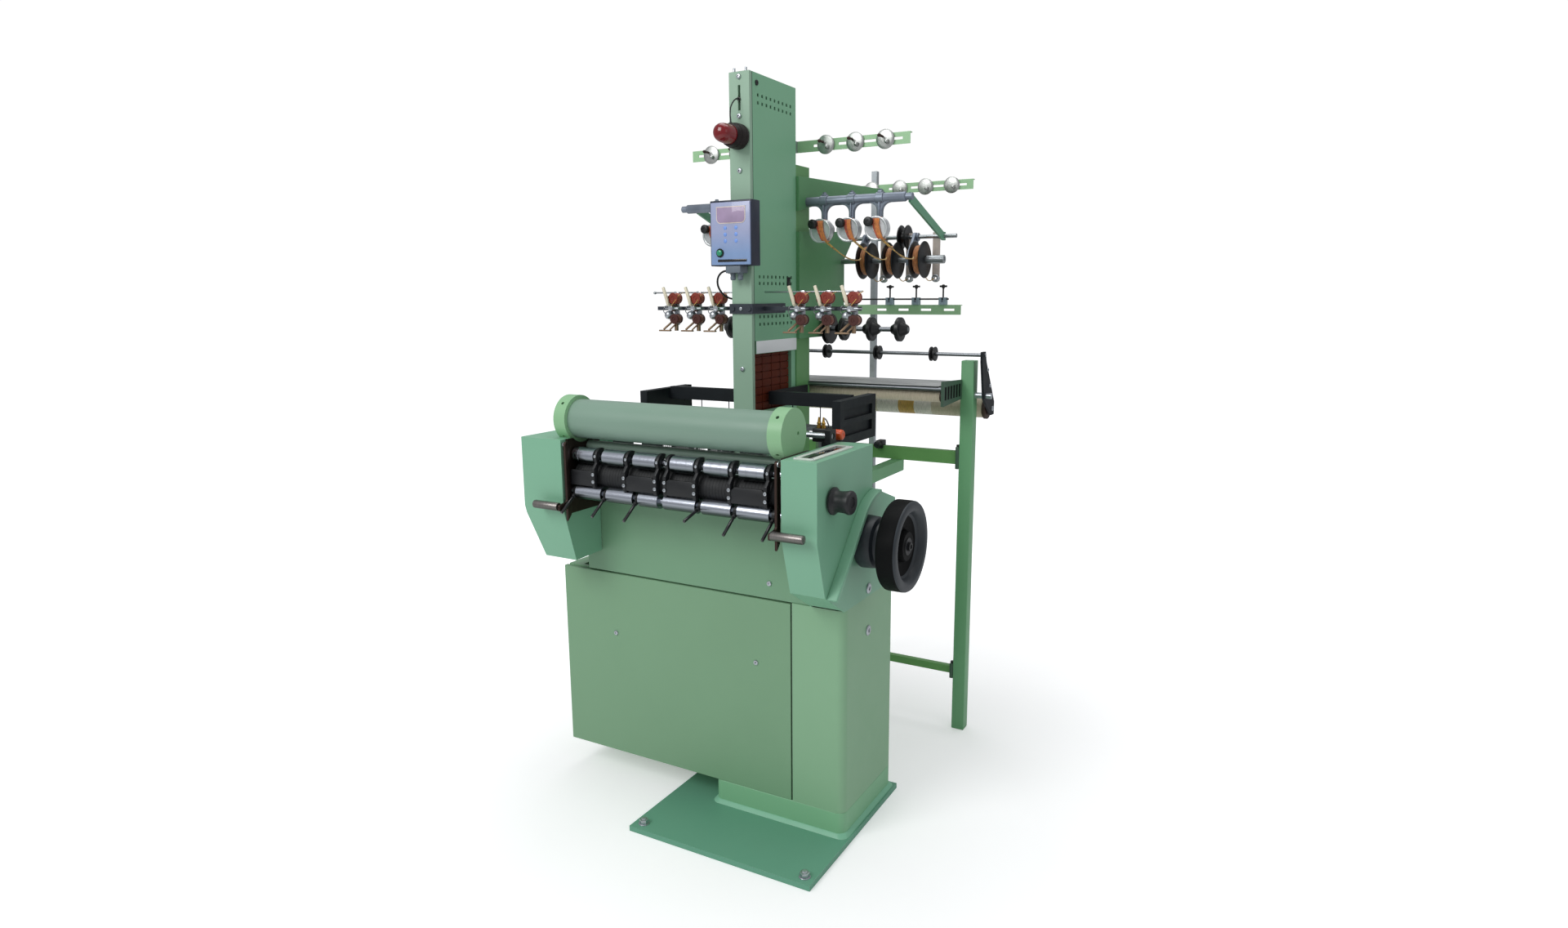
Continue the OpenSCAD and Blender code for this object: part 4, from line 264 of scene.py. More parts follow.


# shade: how far downward faces take the painted dark green reflection and shade.
def metal(name, colour, marks, contrast=0.08, smooth=0.16, rough=0.32, bump=0.08, shade=0.0):
    finish_from(name, turned_metal, bump, 0.0002,
        {"Metal": linear(colour), "Marks": marks, "Contrast": contrast, "Smooth": smooth, "Rough": rough,
         "Shade": shade}, Metallic=1.0)


def casting(name, colour, grain=650.0, smooth=0.32, rough=0.5, dust=0.12, bump=0.25, **shader_values):
    finish_from(name, cast_skin, bump, 0.0003,
        {"Tint": linear(colour), "Grain": grain, "Smooth": smooth, "Rough": rough, "Dust": dust},
        **shader_values)


def yarn(name, colour, shadow, turns, fuzz=0.3):
    finish_from(name, yarn_lay, 0.6, 0.0005,
        {"Yarn": linear(colour), "Shadow": linear(shadow), "Turns": turns, "Fuzz": fuzz}, Sheen_Weight=0.3)


ALONG_X, ALONG_Z = (900.0, 25.0, 25.0), (25.0, 25.0, 900.0)
RUN_X, RUN_Z = (12.0, 700.0, 700.0), (700.0, 700.0, 12.0)
TURNS_X, TURNS_Y = (1200.0, 60.0, 60.0), (80.0, 1500.0, 80.0)

PLAIN_PAINTS = {
    "door_paint": "#7da682", "body_paint": "#8bb791", "foot_paint": "#85be93", "base_paint": "#68a68a",
    "cover_paint": "#78a381", "tower_paint": "#83bb96", "post_paint": "#99baa2", "column_paint": "#659f61",
    "creel_paint": "#5e9666", "rail_paint": "#a2cf9f", "stay_paint": "#629f7c", "stand_paint": "#74b07f",
    "cross_paint": "#6fa761", "motor_paint": "#56635f"}
for name, colour in PLAIN_PAINTS.items():
    paint(name, colour)
# Name, colour, drift, dust, rub (lighter rubbed edges, partly a painted edge highlight), peel and bump, as far
# as they differ from the plain ones
for each in (
        ("bead_paint", "#83c4a2", 0.022, 0.06, 0.3, 160.0, 0.2),
        ("casing_paint", "#82b899", 0.03),
        ("bed_paint", "#5f9a78", 0.022, 0.1),
        ("tube_paint", "#819e8d", 0.022, 0.06, 0.1),
        ("cap_paint", "#91c193", 0.022, 0.03),
        ("strip_paint", "#f5f8fa", 0.022, 0.06, 0.1),
        ("cheek_paint", "#45604f", 0.022, 0.06, 0.15),
        ("web_paint", "#7f9788", 0.05),
        ("sight_paint", "#cfd8cf", 0.022, 0.06, 0.1)):
    paint(*each)
# Name, colour, marks, contrast, smooth, rough, bump and shade (share of painted dark green reflection and
# shade on downward faces)
for each in (
        # The first four darken their downward faces with a painted reflection of the green machine and painted
        # shade.
        ("chrome", "#c4c9d4", ALONG_X, 0.04, 0.23, 0.27, 0.005, 0.9),
        ("dull_rod", "#9b9fa4", RUN_X, 0.12, 0.34, 0.5, 0.08, 0.6),
        ("grip_steel", "#8f8a87", ALONG_X, 0.2, 0.3, 0.46, 0.08, 0.6),
        ("dull_silver", "#c3c5c2", (60.0, 60.0, 60.0), 0.16, 0.3, 0.46, 0.08, 0.3),
        ("steel_rod", "#a9aeb1", RUN_X, 0.12, 0.26, 0.42),
        ("steel_plate", "#8b8f92", RUN_Z, 0.14, 0.34, 0.52),
        ("zinc", "#bfc4c9", ALONG_Z, 0.1, 0.24, 0.4),
        ("brass", "#c69d52", ALONG_Z, 0.1, 0.22, 0.38),
        ("dark_plate", "#4a3d38", RUN_Z, 0.16, 0.38, 0.54)):
    metal(*each)
# Name, colour, shadow, turns and fuzz
for each in (
        ("warp_grey", "#c3c5c7", "#6c7075", (5.0, 170.0, 170.0), 0.1),
        ("yellow_warp", "#d8ac4c", "#9a7427", TURNS_X, 0.15),
        ("white_warp", "#fbf4e9", "#c3c0b4", TURNS_X, 0.1),
        ("orange_yarn", "#ea8a1e", "#9c3f0f", (1500.0, 80.0, 80.0), 0.18),
        ("red_yarn", "#cf4a1c", "#6e1d0c", TURNS_Y, 0.15),
        ("gold_yarn", "#dfae3a", "#8d641a", (120.0, 120.0, 120.0), 0.25),
        ("brown_yarn", "#8e3a22", "#431509", TURNS_Y, 0.12),
        ("orange_pack", "#d98032", "#7a3a12", (900.0, 90.0, 90.0), 0.2),
        ("cream_warp", "#d8ccb6", "#b9ae93", TURNS_X, 0.15)):
    yarn(*each)
# Name, colour, grain, smooth, rough, dust and bump
for each in (
        ("black_iron", "#15171a", 650.0, 0.36, 0.52, 0.05),
        ("black_plastic", "#131416", 900.0, 0.3, 0.44, 0.04, 0.12),
        ("black_rubber", "#191b1d", 1400.0, 0.52, 0.7, 0.05, 0.4),
        ("graphite", "#313741", 800.0, 0.38, 0.52, 0.05, 0.14),
        ("cable_black", "#1e1f21", 1200.0, 0.42, 0.56),
        ("grey_switch", "#8ea3ad", 700.0, 0.34),
        ("pale_tab", "#ddd0c6", 500.0, 0.4, 0.56, 0.12, 0.08),
        ("belt_rubber", "#2a2622", 900.0, 0.55, 0.7),
        ("dish_grey", "#2a3137", 800.0, 0.38, 0.52, 0.04, 0.14),
        ("box_grey", "#6f7a84", 700.0, 0.34, 0.5, 0.03),
        ("box_side", "#272e40", 600.0, 0.3, 0.46, 0.12, 0.2),
        ("key_blue", "#7ea3ea", 900.0, 0.3, 0.42, 0.02, 0.05),
        ("flange_brown", "#3a2419", 500.0, 0.42, 0.6, 0.03),
        ("bobbin_dark", "#4a1f17", 700.0, 0.3, 0.46, 0.03, 0.08),
        ("cream_tongue", "#e8dfc6", 500.0, 0.3, 0.45, 0.06, 0.08)):
    casting(*each)
casting("cast_alloy", "#828b99", 380.0, 0.3, 0.46, 0.12, 0.35, Metallic=0.55)
casting("alloy_post", "#a6acb0", 300.0, 0.32, 0.46, Metallic=0.6)
casting("black_shed", "#1b2024", 500.0, 0.46, 0.62, 0.03, Specular_IOR_Level=0.25)
casting("beacon_shell", "#1b1110", 700.0, 0.4, 0.56, 0.0, Specular_IOR_Level=0.3)
casting("white_drum", "#c9ccce", 900.0, 0.14, 0.28, 0.03, 0.05, Coat_Weight=0.4, Metallic=0.45)
casting("chain_brown", "#5e2410", 500.0, 0.5, 0.7, 0.0, Specular_IOR_Level=0.2)
casting("wheel_black", "#090a0b", 800.0, 0.5, 0.64, 0.0, 0.14, Specular_IOR_Level=0.12)
casting("tan_foot", "#9c8268", 500.0, 0.3, 0.46, 0.04, Metallic=0.3)
casting("button_green", "#2c9a72", 900.0, 0.2, 0.3, 0.12, 0.05, Coat_Weight=0.4)
casting("oiler_cap", "#d9531f", 900.0, 0.22, 0.36, 0.12, 0.08, Coat_Weight=0.3)
casting("black_gloss", "#1b1c1f", 900.0, 0.14, 0.26, 0.04, 0.05, Coat_Weight=0.5)
casting("sight_black", "#14161a", 900.0, 0.06, 0.16, 0.04, 0.02, Coat_Weight=0.8)
casting("bobbin_red", "#8a3222", 700.0, 0.24, 0.4, 0.03, 0.08, Coat_Weight=0.2)
casting("red_dome", "#780812", 300.0, 0.12, 0.2, 0.01, 0.02, Coat_Weight=0.4)
casting("screen_glass", "#a48fae", 300.0, 0.4, 0.5, 0.0, 0.01, Coat_Weight=0.6)


def make_face_film():
    """The control box's printed film: pale lavender above, light blue low down, with a faint sheen."""
    film, shader = new_material("face_film")
    shader["Coat Weight"].default_value = 0.35
    place = film.place()
    shades = film.node("ValToRGB", film.spread(film.height_of(place), 1.606, 1.787, 0.0, 1.0))
    for stop, code, at in zip(shades.color_ramp.elements, ("#8aa6d2", "#a5adcf"), (0.18, 0.55)):
        stop.color, stop.position = linear(code), at
    cloud = film.noise(place, 30.0)
    film.join(film.tinted(shades.outputs[0], film.spread(cloud, 0.3, 0.7, 0.97, 1.03)), shader["Base Color"])
    film.join(film.spread(cloud, 0.3, 0.7, 0.28, 0.4), shader["Roughness"])


# Floor glow: nearest and farthest distance in metres, and the light there
FLOOR_GLOW = (0.8, 3.2, 0.3, 0.72)


def make_floor_white():
    """White studio floor: near even, with a little light of its own so that it runs into the backdrop."""
    white, shader = new_material("floor_white")
    shader["Roughness"].default_value = 0.8
    shader["Emission Color"].default_value = (1.0, 1.0, 1.0, 1.0)
    seen = white.node("LightPath").outputs["Is Camera Ray"]
    place = white.place()
    glow = white.spread(white.vector("LENGTH", place).outputs["Value"], *FLOOR_GLOW)
    white.join(white.number("MULTIPLY", seen, glow), shader["Emission Strength"])
    shade = white.blended(white.noise(place, 0.4), linear("#f4f4f5"), linear("#f7f7f7"))
    white.join(shade, shader["Base Color"])


make_face_film()
make_floor_white()


# Hand tools: each starts from a primitive at its size and place, and shapes it in edit mode

AXES = {"X": 0, "Y": 1, "Z": 2}


def take(*pieces):
    bpy.ops.object.select_all(action="DESELECT")
    for piece in pieces:
        piece.select_set(True)
    bpy.context.view_layer.objects.active = pieces[0]


def open_edit(piece):
    take(piece)
    bpy.ops.object.mode_set(mode="EDIT")


def close_edit():
    bpy.ops.object.mode_set(mode="OBJECT")


def begin(name, add_primitive, **values):
    """Adds a primitive, sets its place into its mesh and opens it in edit mode."""
    bpy.ops.object.select_all(action="DESELECT")
    add_primitive(**values)
    piece = bpy.context.object
    piece.name = piece.data.name = name
    take(piece)
    bpy.ops.object.transform_apply(location=True, rotation=True, scale=True)
    bpy.ops.object.mode_set(mode="EDIT")
    return piece


def pick(piece, kind, wanted):
    """Selects the faces or edges, in edit mode, that pass the test."""
    bpy.ops.mesh.select_all(action="DESELECT")
    bpy.ops.mesh.select_mode(type=kind)
    mesh = bmesh.from_edit_mesh(piece.data)
    found = [part for part in (mesh.edges if kind == "EDGE" else mesh.faces) if wanted(part)]
    for part in found:
        part.select_set(True)
    mesh.select_flush_mode()
    bmesh.update_edit_mesh(piece.data)
    return found


def bevel(width, segments, **more):
    bpy.ops.mesh.bevel(offset=width * MM, segments=segments, affect="EDGES", **more)


def smooth(piece, angle=35):
    take(piece)
    bpy.ops.object.shade_smooth_by_angle(angle=math.radians(angle))
    return piece


def modify(piece, kind, **settings):
    take(piece)
    made = piece.modifiers.new(kind.lower(), kind)
    for label, value in settings.items():
        setattr(made, label, value)
    bpy.ops.object.modifier_apply(modifier=made.name)
    return piece


def spots(text, *shift):
    """Points that are written as text, each as its numbers with commas between them, and then moved."""
    moves = shift + (0.0, 0.0, 0.0)
    return [tuple(float(number) + move for number, move in zip(spot.split(","), moves))
            for spot in text.split()]


def point(axis, along, one, two):
    """A point from its place along an axis and the other two coordinates in order, in millimetres."""
    rest = [one, two]
    return Vector([rest.pop(0) if i != AXES[axis] else along for i in range(3)]) * MM


def block(name, x, y, z, edge=1.0, segments=2):
    """A block with all its edges eased."""
    low, high = (Vector(corner) * MM for corner in zip(x, y, z))
    piece = begin(name, bpy.ops.mesh.primitive_cube_add, size=1, location=(low + high) / 2, scale=high - low)
    bpy.ops.mesh.select_all(action="SELECT")
    bevel(edge, segments)
    close_edit()
    return smooth(piece)


def trace(name, points, closed):
    """A plane drawn together to one point, and drawn out again from point to point."""
    piece = begin(name, bpy.ops.mesh.primitive_plane_add, size=0.01, location=points[0])
    bpy.ops.mesh.select_mode(type="VERT")
    bpy.ops.mesh.merge(type="CENTER")
    for start, end in zip(points, points[1:]):
        bpy.ops.mesh.extrude_region_move(TRANSFORM_OT_translate={"value": end - start})
    bpy.ops.mesh.select_all(action="SELECT")
    if closed:
        bpy.ops.mesh.edge_face_add()
    return piece


def plate(name, axis, span, outline, edge=1.0, segments=2):
    """A plate with a drawn outline: it spans an axis, and its points give the other two coordinates."""
    if isinstance(outline, str):
        outline = spots(outline)
    piece = trace(name, [point(axis, span[0], *p) for p in outline], True)
    bpy.ops.mesh.extrude_region_move(TRANSFORM_OT_translate={"value": point(axis, span[1] - span[0], 0, 0)})
    bpy.ops.mesh.select_all(action="SELECT")
    bpy.ops.mesh.normals_make_consistent(inside=False)
    close_edit()
    modify(piece, "BEVEL", width=edge * MM, segments=segments, limit_method="ANGLE",
        angle_limit=math.radians(30))
    return smooth(piece)


def turned(name, axis, centre, outline, steps=40, angle=35):
    """A part from the lathe. Its outline gives (place along the axis, radius); centre, the other two."""
    if isinstance(outline, str):
        outline = spots(outline)
    route = [point(axis, along, centre[0] + radius, centre[1]) for along, radius in outline]
    piece = trace(name, route, False)
    if outline[0][1] > 0:
        bpy.ops.mesh.edge_face_add()
        bpy.ops.mesh.delete(type="ONLY_FACE")
        bpy.ops.mesh.select_all(action="SELECT")
    line = [0, 0, 0]
    line[AXES[axis]] = 1
    bpy.ops.mesh.spin(steps=steps, angle=2 * math.pi, center=point(axis, outline[0][0], *centre), axis=line)
    bpy.ops.mesh.select_all(action="SELECT")
    bpy.ops.mesh.remove_doubles(threshold=0.00001)
    bpy.ops.mesh.normals_make_consistent(inside=False)
    close_edit()
    return smooth(piece, angle)


def rod(name, start, end, radius, tip=None, sides=20):
    """A round bar between two points, with its ends eased."""
    start, end = Vector(start) * MM, Vector(end) * MM
    turn = (end - start).to_track_quat("Z", "Y").to_euler()
    piece = begin(name, bpy.ops.mesh.primitive_cylinder_add, vertices=sides, radius=radius * MM,
        depth=(end - start).length, location=(start + end) / 2, rotation=turn)
    pick(piece, "FACE", lambda face: len(face.verts) > 4)
    bevel(tip or radius * 0.25, 2)
    close_edit()
    return smooth(piece)


def curve(name, points, radius, roundness, steps):
    """A smooth curve through its points, as thick as its radius."""
    line = bpy.data.curves.new(name, "CURVE")
    line.dimensions = "3D"
    line.bevel_depth = radius * MM
    line.bevel_resolution = roundness
    line.use_fill_caps = True
    line.resolution_u = steps
    run = line.splines.new("BEZIER")
    run.bezier_points.add(len(points) - 1)
    for knot, place in zip(run.bezier_points, points):
        knot.co = Vector(place) * MM
        knot.handle_left_type = knot.handle_right_type = "AUTO"
    piece = bpy.data.objects.new(name, line)
    bpy.context.scene.collection.objects.link(piece)
    return piece


def tube(name, points, radius, sides=8):
    """A bent wire or a length of yarn along its points, as a mesh."""
    take(curve(name, points, radius, sides // 4, 5))
    bpy.ops.object.convert(target="MESH")
    piece = bpy.context.object
    piece.name = name
    return smooth(piece, 60)


def moved_copy(piece, name, offset):
    """A copy with its own mesh, moved by millimetres."""
    twin = piece.copy()
    twin.data = piece.data.copy()
    twin.name = twin.data.name = name
    bpy.context.scene.collection.objects.link(twin)
    twin.data.transform(Matrix.Translation(Vector(offset) * MM))
    return twin


def along_row(piece, places):
    """Copies of a piece along X at each place; the first place is where the piece itself stands."""
    return [piece] + [moved_copy(piece, f"{piece.name}_{i}", (place - places[0], 0, 0))
                      for i, place in enumerate(places[1:], 2)]


def joined(name, pieces):
    take(*pieces)
    if len(pieces) > 1:
        bpy.ops.object.join()
    piece = bpy.context.object
    piece.name = piece.data.name = name
    return piece


def seated(piece, *stands_for, slot=None, body="machine"):
    """Sets a piece on its body, in place of CAD nodes where it stands for them."""
    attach(piece, body)
    if stands_for:
        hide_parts(*stands_for)
    return piece


def dressed(piece, finish, *stands_for, **seat):
    piece.data.materials.clear()
    piece.data.materials.append(FINISHES[finish])
    return seated(piece, *stands_for, **seat)


def group_of(name, finish, pieces, *stands_for, **seat):
    return dressed(joined(name, pieces), finish, *stands_for, **seat)


def merged(node, name):
    """A copy of a CAD node with its triangles joined into whole faces."""
    piece = bpy.data.objects.new(name, nodes[node].data.copy())
    bpy.context.scene.collection.objects.link(piece)
    piece.data.name = name
    open_edit(piece)
    bpy.ops.mesh.select_all(action="SELECT")
    bpy.ops.mesh.customdata_custom_splitnormals_clear()
    bpy.ops.mesh.remove_doubles(threshold=0.00001)
    bpy.ops.mesh.dissolve_limited(angle_limit=math.radians(0.5))
    close_edit()
    return piece


def eased(node, name, edge=1.0, segments=2, wide=None, wide_edges=None):
    """A merged copy with its long outer edges rounded first, where a test names them, and then the rest."""
    piece = merged(node, name)
    if wide:
        open_edit(piece)
        if pick(piece, "EDGE", wide_edges):
            bevel(wide, 5, clamp_overlap=True)
        close_edit()
    modify(piece, "BEVEL", width=edge * MM, segments=segments, limit_method="ANGLE",
        angle_limit=math.radians(40), use_clamp_overlap=True, harden_normals=False)
    return modify(smooth(piece), "WEIGHTED_NORMAL", keep_sharp=True)


def coat(node, name, finish, edge=0.6, segments=2, wide=None, wide_edges=None, **seat):
    """An eased copy in place of its CAD node, in one finish."""
    return dressed(eased(node, name, edge, segments, wide, wide_edges), finish, node, **seat)


def whole_parts(mesh):
    """The faces of a mesh, in lists of those that hang together."""
    seen = set()
    for face in mesh.faces:
        if face.index in seen:
            continue
        seen.add(face.index)
        part, queue = [face], [face]
        while queue:
            for near in [f for edge in queue.pop().edges for f in edge.link_faces]:
                if near.index not in seen:
                    seen.add(near.index)
                    part.append(near)
                    queue.append(near)
        yield part


def painted_copy(node, name, finishes, edge=0.8, slot=None, body="machine"):
    """An eased copy of a CAD node whose separate solids each take a finish by their box, in millimetres.

    A solid whose finish is None is left out, because new pieces take its place.
    """
    piece = eased(node, name, edge)
    piece.data.materials.clear()
    coats = [finish for finish, _ in finishes if finish]
    for finish in coats:
        piece.data.materials.append(FINISHES[finish])
    mesh = bmesh.new()
    mesh.from_mesh(piece.data)
    left_out = []
    for part in whole_parts(mesh):
        places = [v.co / MM for f in part for v in f.verts]
        low, high = (Vector([end(p[i] for p in places) for i in range(3)]) for end in (min, max))
        finish = next(finish for finish, test in finishes if test is None or test(low, high, high - low))
        if finish is None:
            left_out += part
        for f in part:
            f.material_index = coats.index(finish) if finish else 0
    bmesh.ops.delete(mesh, geom=left_out, context="FACES")
    mesh.to_mesh(piece.data)
    mesh.free()
    return seated(piece, node, slot=slot, body=body)


def repaint(piece, finish, wanted):
    """Gives a finish to the faces whose centre, in millimetres, and normal pass the test."""
    piece.data.materials.append(FINISHES[finish])
    for face in piece.data.polygons:
        if wanted(face.center / MM, face.normal):
            face.material_index = len(piece.data.materials) - 1


def carry(node, finish):
    """Gives a CAD node that stays a finish in all its slots."""
    held = nodes[node].data.materials
    for i in range(len(held)):
        held[i] = FINISHES[finish]
    if not held:
        held.append(FINISHES[finish])


def arc(centre, radius, start, end, steps):
    """Points on an arc, in degrees."""
    angles = [math.radians(start + (end - start) * i / steps) for i in range(steps + 1)]
    return [(centre[0] + radius * math.cos(a), centre[1] + radius * math.sin(a)) for a in angles]


# Leads: each leaves one fixed place and ends in another, so each keeps its route
BOX_LEAD = spots(
    "-247,208,1589 -255,208,1589 -263,208,1587 -271,209,1583 -278,210,1577 -284,212,1569 -288,215,1560 "
    "-290,219,1550 -291,225,1541 -290,232,1532 -288,240,1524 -284,247,1517 -279,254,1512 -273,260,1508 "
    "-266,264,1506 -258,266,1505 -249,266,1505")
BEACON_LEAD = spots(
    "-214,231,2083 -214,226,2083 -215,220,2081 -217,214,2077 -219,209,2071 -221,204,2063 -222,200,2054 "
    "-222,198,2045 -222,197,2036 -221,196,2028 -220,196,2020 -220,196,2013")


def lay_lead(name, route, radius, node):
    lead = curve(name, route, radius, 3, 6)
    length = sum((Vector(b) - Vector(a)).length for a, b in zip(route, route[1:])) * MM
    dressed(lead, "cable_black", node, slot="cord_black")
    tuple(Vector(route[0]) * MM)
lay_lead("box_lead", BOX_LEAD, 3, "control_box_lead")
lay_lead("beacon_cable", BEACON_LEAD, 2, "beacon_lead")


# Base, foot and body


def upright_outer(face_x, face_y):
    """A test for long upright edges at the given places."""
    def wanted(edge):
        a, b = (v.co / MM for v in edge.verts)
        return (abs(a.z - b.z) > 20 and abs(a.x - b.x) < 0.5 and abs(a.y - b.y) < 0.5
                and any(abs(a.x - x) < 0.6 for x in face_x) and any(abs(a.y - y) < 0.6 for y in face_y))
    return wanted


def make_base():
    coat("base_plate", "floor_plate", "base_paint", 1.6, slot="base_green")
    coat("pedestal_foot", "foot_casting", "foot_paint", 3.0, 3, slot="body_green")
    bead = begin("foot_weld", bpy.ops.mesh.primitive_cube_add, size=1, location=(0.0635, 0.1115, 0.0215),
        scale=(0.429, 0.345, 0.011))
    pick(bead, "EDGE", lambda e: abs(e.verts[0].co.z - e.verts[1].co.z) > 0.005)
    bevel(25, 8)
    pick(bead, "FACE", lambda f: f.normal.z < -0.9)
    bpy.ops.transform.resize(value=(1.042, 1.052, 1))
    pick(bead, "EDGE", lambda e: all(v.co.z > 0.026 for v in e.verts))
    bevel(2, 3)
    close_edit()
    dressed(smooth(bead, 50), "bead_paint", slot="base_green")
    coat("machine_body", "body_shell", "body_paint", 1.0, 2, 5.0, upright_outer((277, -700), (-60, 283)),
        slot="body_green")
    coat("front_door", "door_panel", "door_paint", 1.6, 3, slot="door_green")
    dressed(block("door_seal", (111.4, 115.6), (-56, -46), (90, 678), 0.8), "black_rubber", slot="rubber")
    coat("upper_front_cover", "front_cover", "cover_paint", 1.6, 3, slot="door_green")
    bed = coat("head_bed", "bed_casting", "bed_paint", 1.4, slot="bed_green")
    repaint(bed, "black_iron", lambda at, normal: at.z > 960 and at.x > 140)


# Bolts: washers, hexagon nuts and studs at the corners, and round-headed screws on the panels


def socket_screw(name, place, radius, height, axis="Y", out=-1):
    """A domed screw head with a round socket, standing out along an axis from a face."""
    rest = [place[i] for i in range(3) if i != AXES[axis]]
    shape = spots("0,1 0.55,1 0.86,0.9 1,0.7 1,0.42 0.45,0.38 0.45,0")
    return turned(name, axis, rest, [(place[AXES[axis]] + out * height * a, radius * r) for a, r in shape], 24)


def hex_nut(name, x, y, z, radius, height):
    nut = begin(name, bpy.ops.mesh.primitive_cylinder_add, vertices=6, radius=radius * MM, depth=height * MM,
        location=Vector((x, y, z + height / 2)) * MM)
    pick(nut, "EDGE", lambda e: all(v.co.z > (z + height - 0.1) * MM for v in e.verts))
    bevel(height * 0.16, 2)
    close_edit()
    return smooth(nut, 25)


def make_bolts():
    made = []
    for i, (x, y) in enumerate(((-262.5, -264), (262.5, -264), (-262.5, 264))):
        made += [turned(f"washer_{i}", "Z", (x, y), "16,0 16,16 17.6,16 18.7,14.6 18.7,0", 32),
                 hex_nut(f"nut_{i}", x, y, 18.5, 13.6, 11.4),
                 turned(f"stud_{i}", "Z", (x, y), "20,0 20,7.4 31,7.4 33.5,6 34,0", 20)]
    made += [socket_screw(f"panel_screw_{x}", (x, y, z), 7.5, 4)
             for x, y, z in ((-507.3, -60, 484.6), (-1.2, -60, 484.6), (43.4, -57, 725))]
    made += [socket_screw(f"side_bolt_{z}", (277, 94.3, z), 15, 4.6, "X", 1) for z in (703.7, 579.4)]
    made += [socket_screw(f"post_bolt_{z}", (-214, 235, z), 7.5, 5.5) for z in (2145.3, 2035, 1880.7, 1292.7)]
    made += [turned(f"top_stud_{x}", "Z", (x, 242.5),
        "2160,0 2160,5 2162,5 2162,3.6 2170.6,3.6 2172,2.4 2172,0", 20) for x in (-194, -234)]
    group_of("bolt_set", "zinc", made, "bolts_and_screws", slot="zinc")


# Sheet casings at both ends of the head


def end_face_edges(x, lowest, farthest):
    """A test for the long edges round a casing's outer face, above a height and in front of a depth."""
    def wanted(edge):
        a, b = (v.co / MM for v in edge.verts)
        return (abs(a.x - x) < 0.5 and abs(b.x - x) < 0.5 and (a - b).length > 15
                and max(a.z, b.z) > lowest and min(a.y, b.y) < farthest)
    return wanted


def make_casings():
    coat("right_casing", "right_sheet_casing", "casing_paint", 1.2, 2, 9.0, end_face_edges(277, 750, 280),
        slot="casing_green")
    coat("left_casing", "left_sheet_casing", "casing_paint", 1.2, 2, 9.0, end_face_edges(-706, 760, 140),
        slot="casing_green")
    rib = plate("casing_rib", "X", (276.5, 307),
        "-170.9,748.3 17,950 44,968 70,980 92,985.5 115,988 115,974 94,972 74,966.5 48,954.5 25.5,939 "
        "-158.8,740.8", 3.0, 4)
    dressed(rib, "casing_paint", slot="casing_green")


def make_sight_plate():
    """A pale frame let into the casing's top, with a dark glass over the slot and four small screws."""
    rim = plate("sight_frame", "Z", (1110.5, 1115),
        spots("201,-202 251,-202 257,-196 257,32 251,38 201,38 195,32 195,-196"), 1.2)
    opening = block("sight_opening", (211, 241), (-187, 23), (1113.2, 1120), 0.4)
    modify(rim, "BOOLEAN", operation="DIFFERENCE", object=opening, solver="EXACT")
    bpy.data.objects.remove(opening)
    dressed(smooth(rim), "sight_paint", "oil_fittings", slot="oiler")
    glass = block("sight_glass", (211.4, 240.6), (-186.6, 22.6), (1112.6, 1114.6), 0.4)
    dressed(glass, "sight_black", slot="oiler")
    screws = [turned(f"sight_screw_{i}", "Z", place, "1115,0 1115,3.2 1116.4,2.6 1116.8,1.2 1116.5,0", 16)
              for i, place in enumerate(spots("201.5,-195.5 250.5,-195.5 201.5,31.5 250.5,31.5"))]
    group_of("sight_screws", "zinc", screws, slot="oiler")


def make_oiler():
    """A black pump block on its bracket, an orange screw cap, and the oil pipes with their unions."""
    group_of("oiler_body", "black_plastic", [
        block("pump", (95.4, 139.4), (101, 145), (1107, 1146), 3.0, 3),
        block("pump_foot", (124, 160), (103, 143), (956, 1108), 2.0),
        turned("pump_neck", "X", (123, 1129), "138,0 138,13 143,13 143.5,11.6 143.5,0", 32),
        turned("pump_dome", "Z", (112, 128), "1145,0 1145,11 1149,10.6 1151,8.4 1151.5,0", 28),
    ], slot="oiler")
    cap = turned("oiler_screw_cap", "X", (123, 1129),
        "143,0 143,14 144.2,14.9 176,14.9 180.5,13.9 183,11.4 183,6 181.8,5 181.8,0", 48)

    def in_a_groove(face):
        """Every third of the 48 faces round the cap."""
        at = face.calc_center_median()
        around = math.atan2(at.z - 1.129, at.y - 0.123) / (2 * math.pi / 48) - 0.5
        return 0.147 < at.x < 0.174 and round(around) % 3 == 0

    open_edit(cap)
    pick(cap, "FACE", in_a_groove)
    bpy.ops.mesh.inset(thickness=0.0002, depth=-0.0009, use_individual=False)
    close_edit()
    dressed(smooth(cap, 30), "oiler_cap", slot="oiler")
    unions = [turned(f"union_{i}", "Z", (x, 115.7),
        "1145,0 1145,6.4 1152,6.4 1152.6,5 1156,5 1156.6,5.9 1161,5.9 1162,4.4 1170,3 1176.6,2.2 1176.6,0", 20)
        for i, x in enumerate((110, 124.7))]
    group_of("oil_unions", "brass", unions, slot="oiler")
    pipes = [
        tube("oil_pipe_1", spots("110,115.7,1174 108,122,1172 104,138,1155 101,150,1125 100,156,1085 "
            "100,158,1040"), 2.2),
        tube("oil_pipe_2", spots("124.7,115.7,1174 126,124,1171 128,142,1150 130,153,1118 131,158,1080 "
            "131,160,1035"), 2.2)]
    group_of("oil_pipes", "steel_rod", pipes, slot="oiler")


# Rollers, tube and levers at the front of the head
HEADS = [-501.5, -391.0, -280.5, -153.5, -43.0, 67.5]
LEVERS = [-528.2, -415.9, -303.0, -91.2, 21.8, 138.3]
DROPS = [36, 36, 36, 16, 36, 36]


def make_side_plates():
    painted_copy("roller_side_plates", "roller_plates", [
        ("web_paint", lambda low, high, size: size.x > 400 and low.z > 1050),
        ("chrome", lambda low, high, size: size.x > 400),
        ("dark_plate", None)], 0.8, "steel")


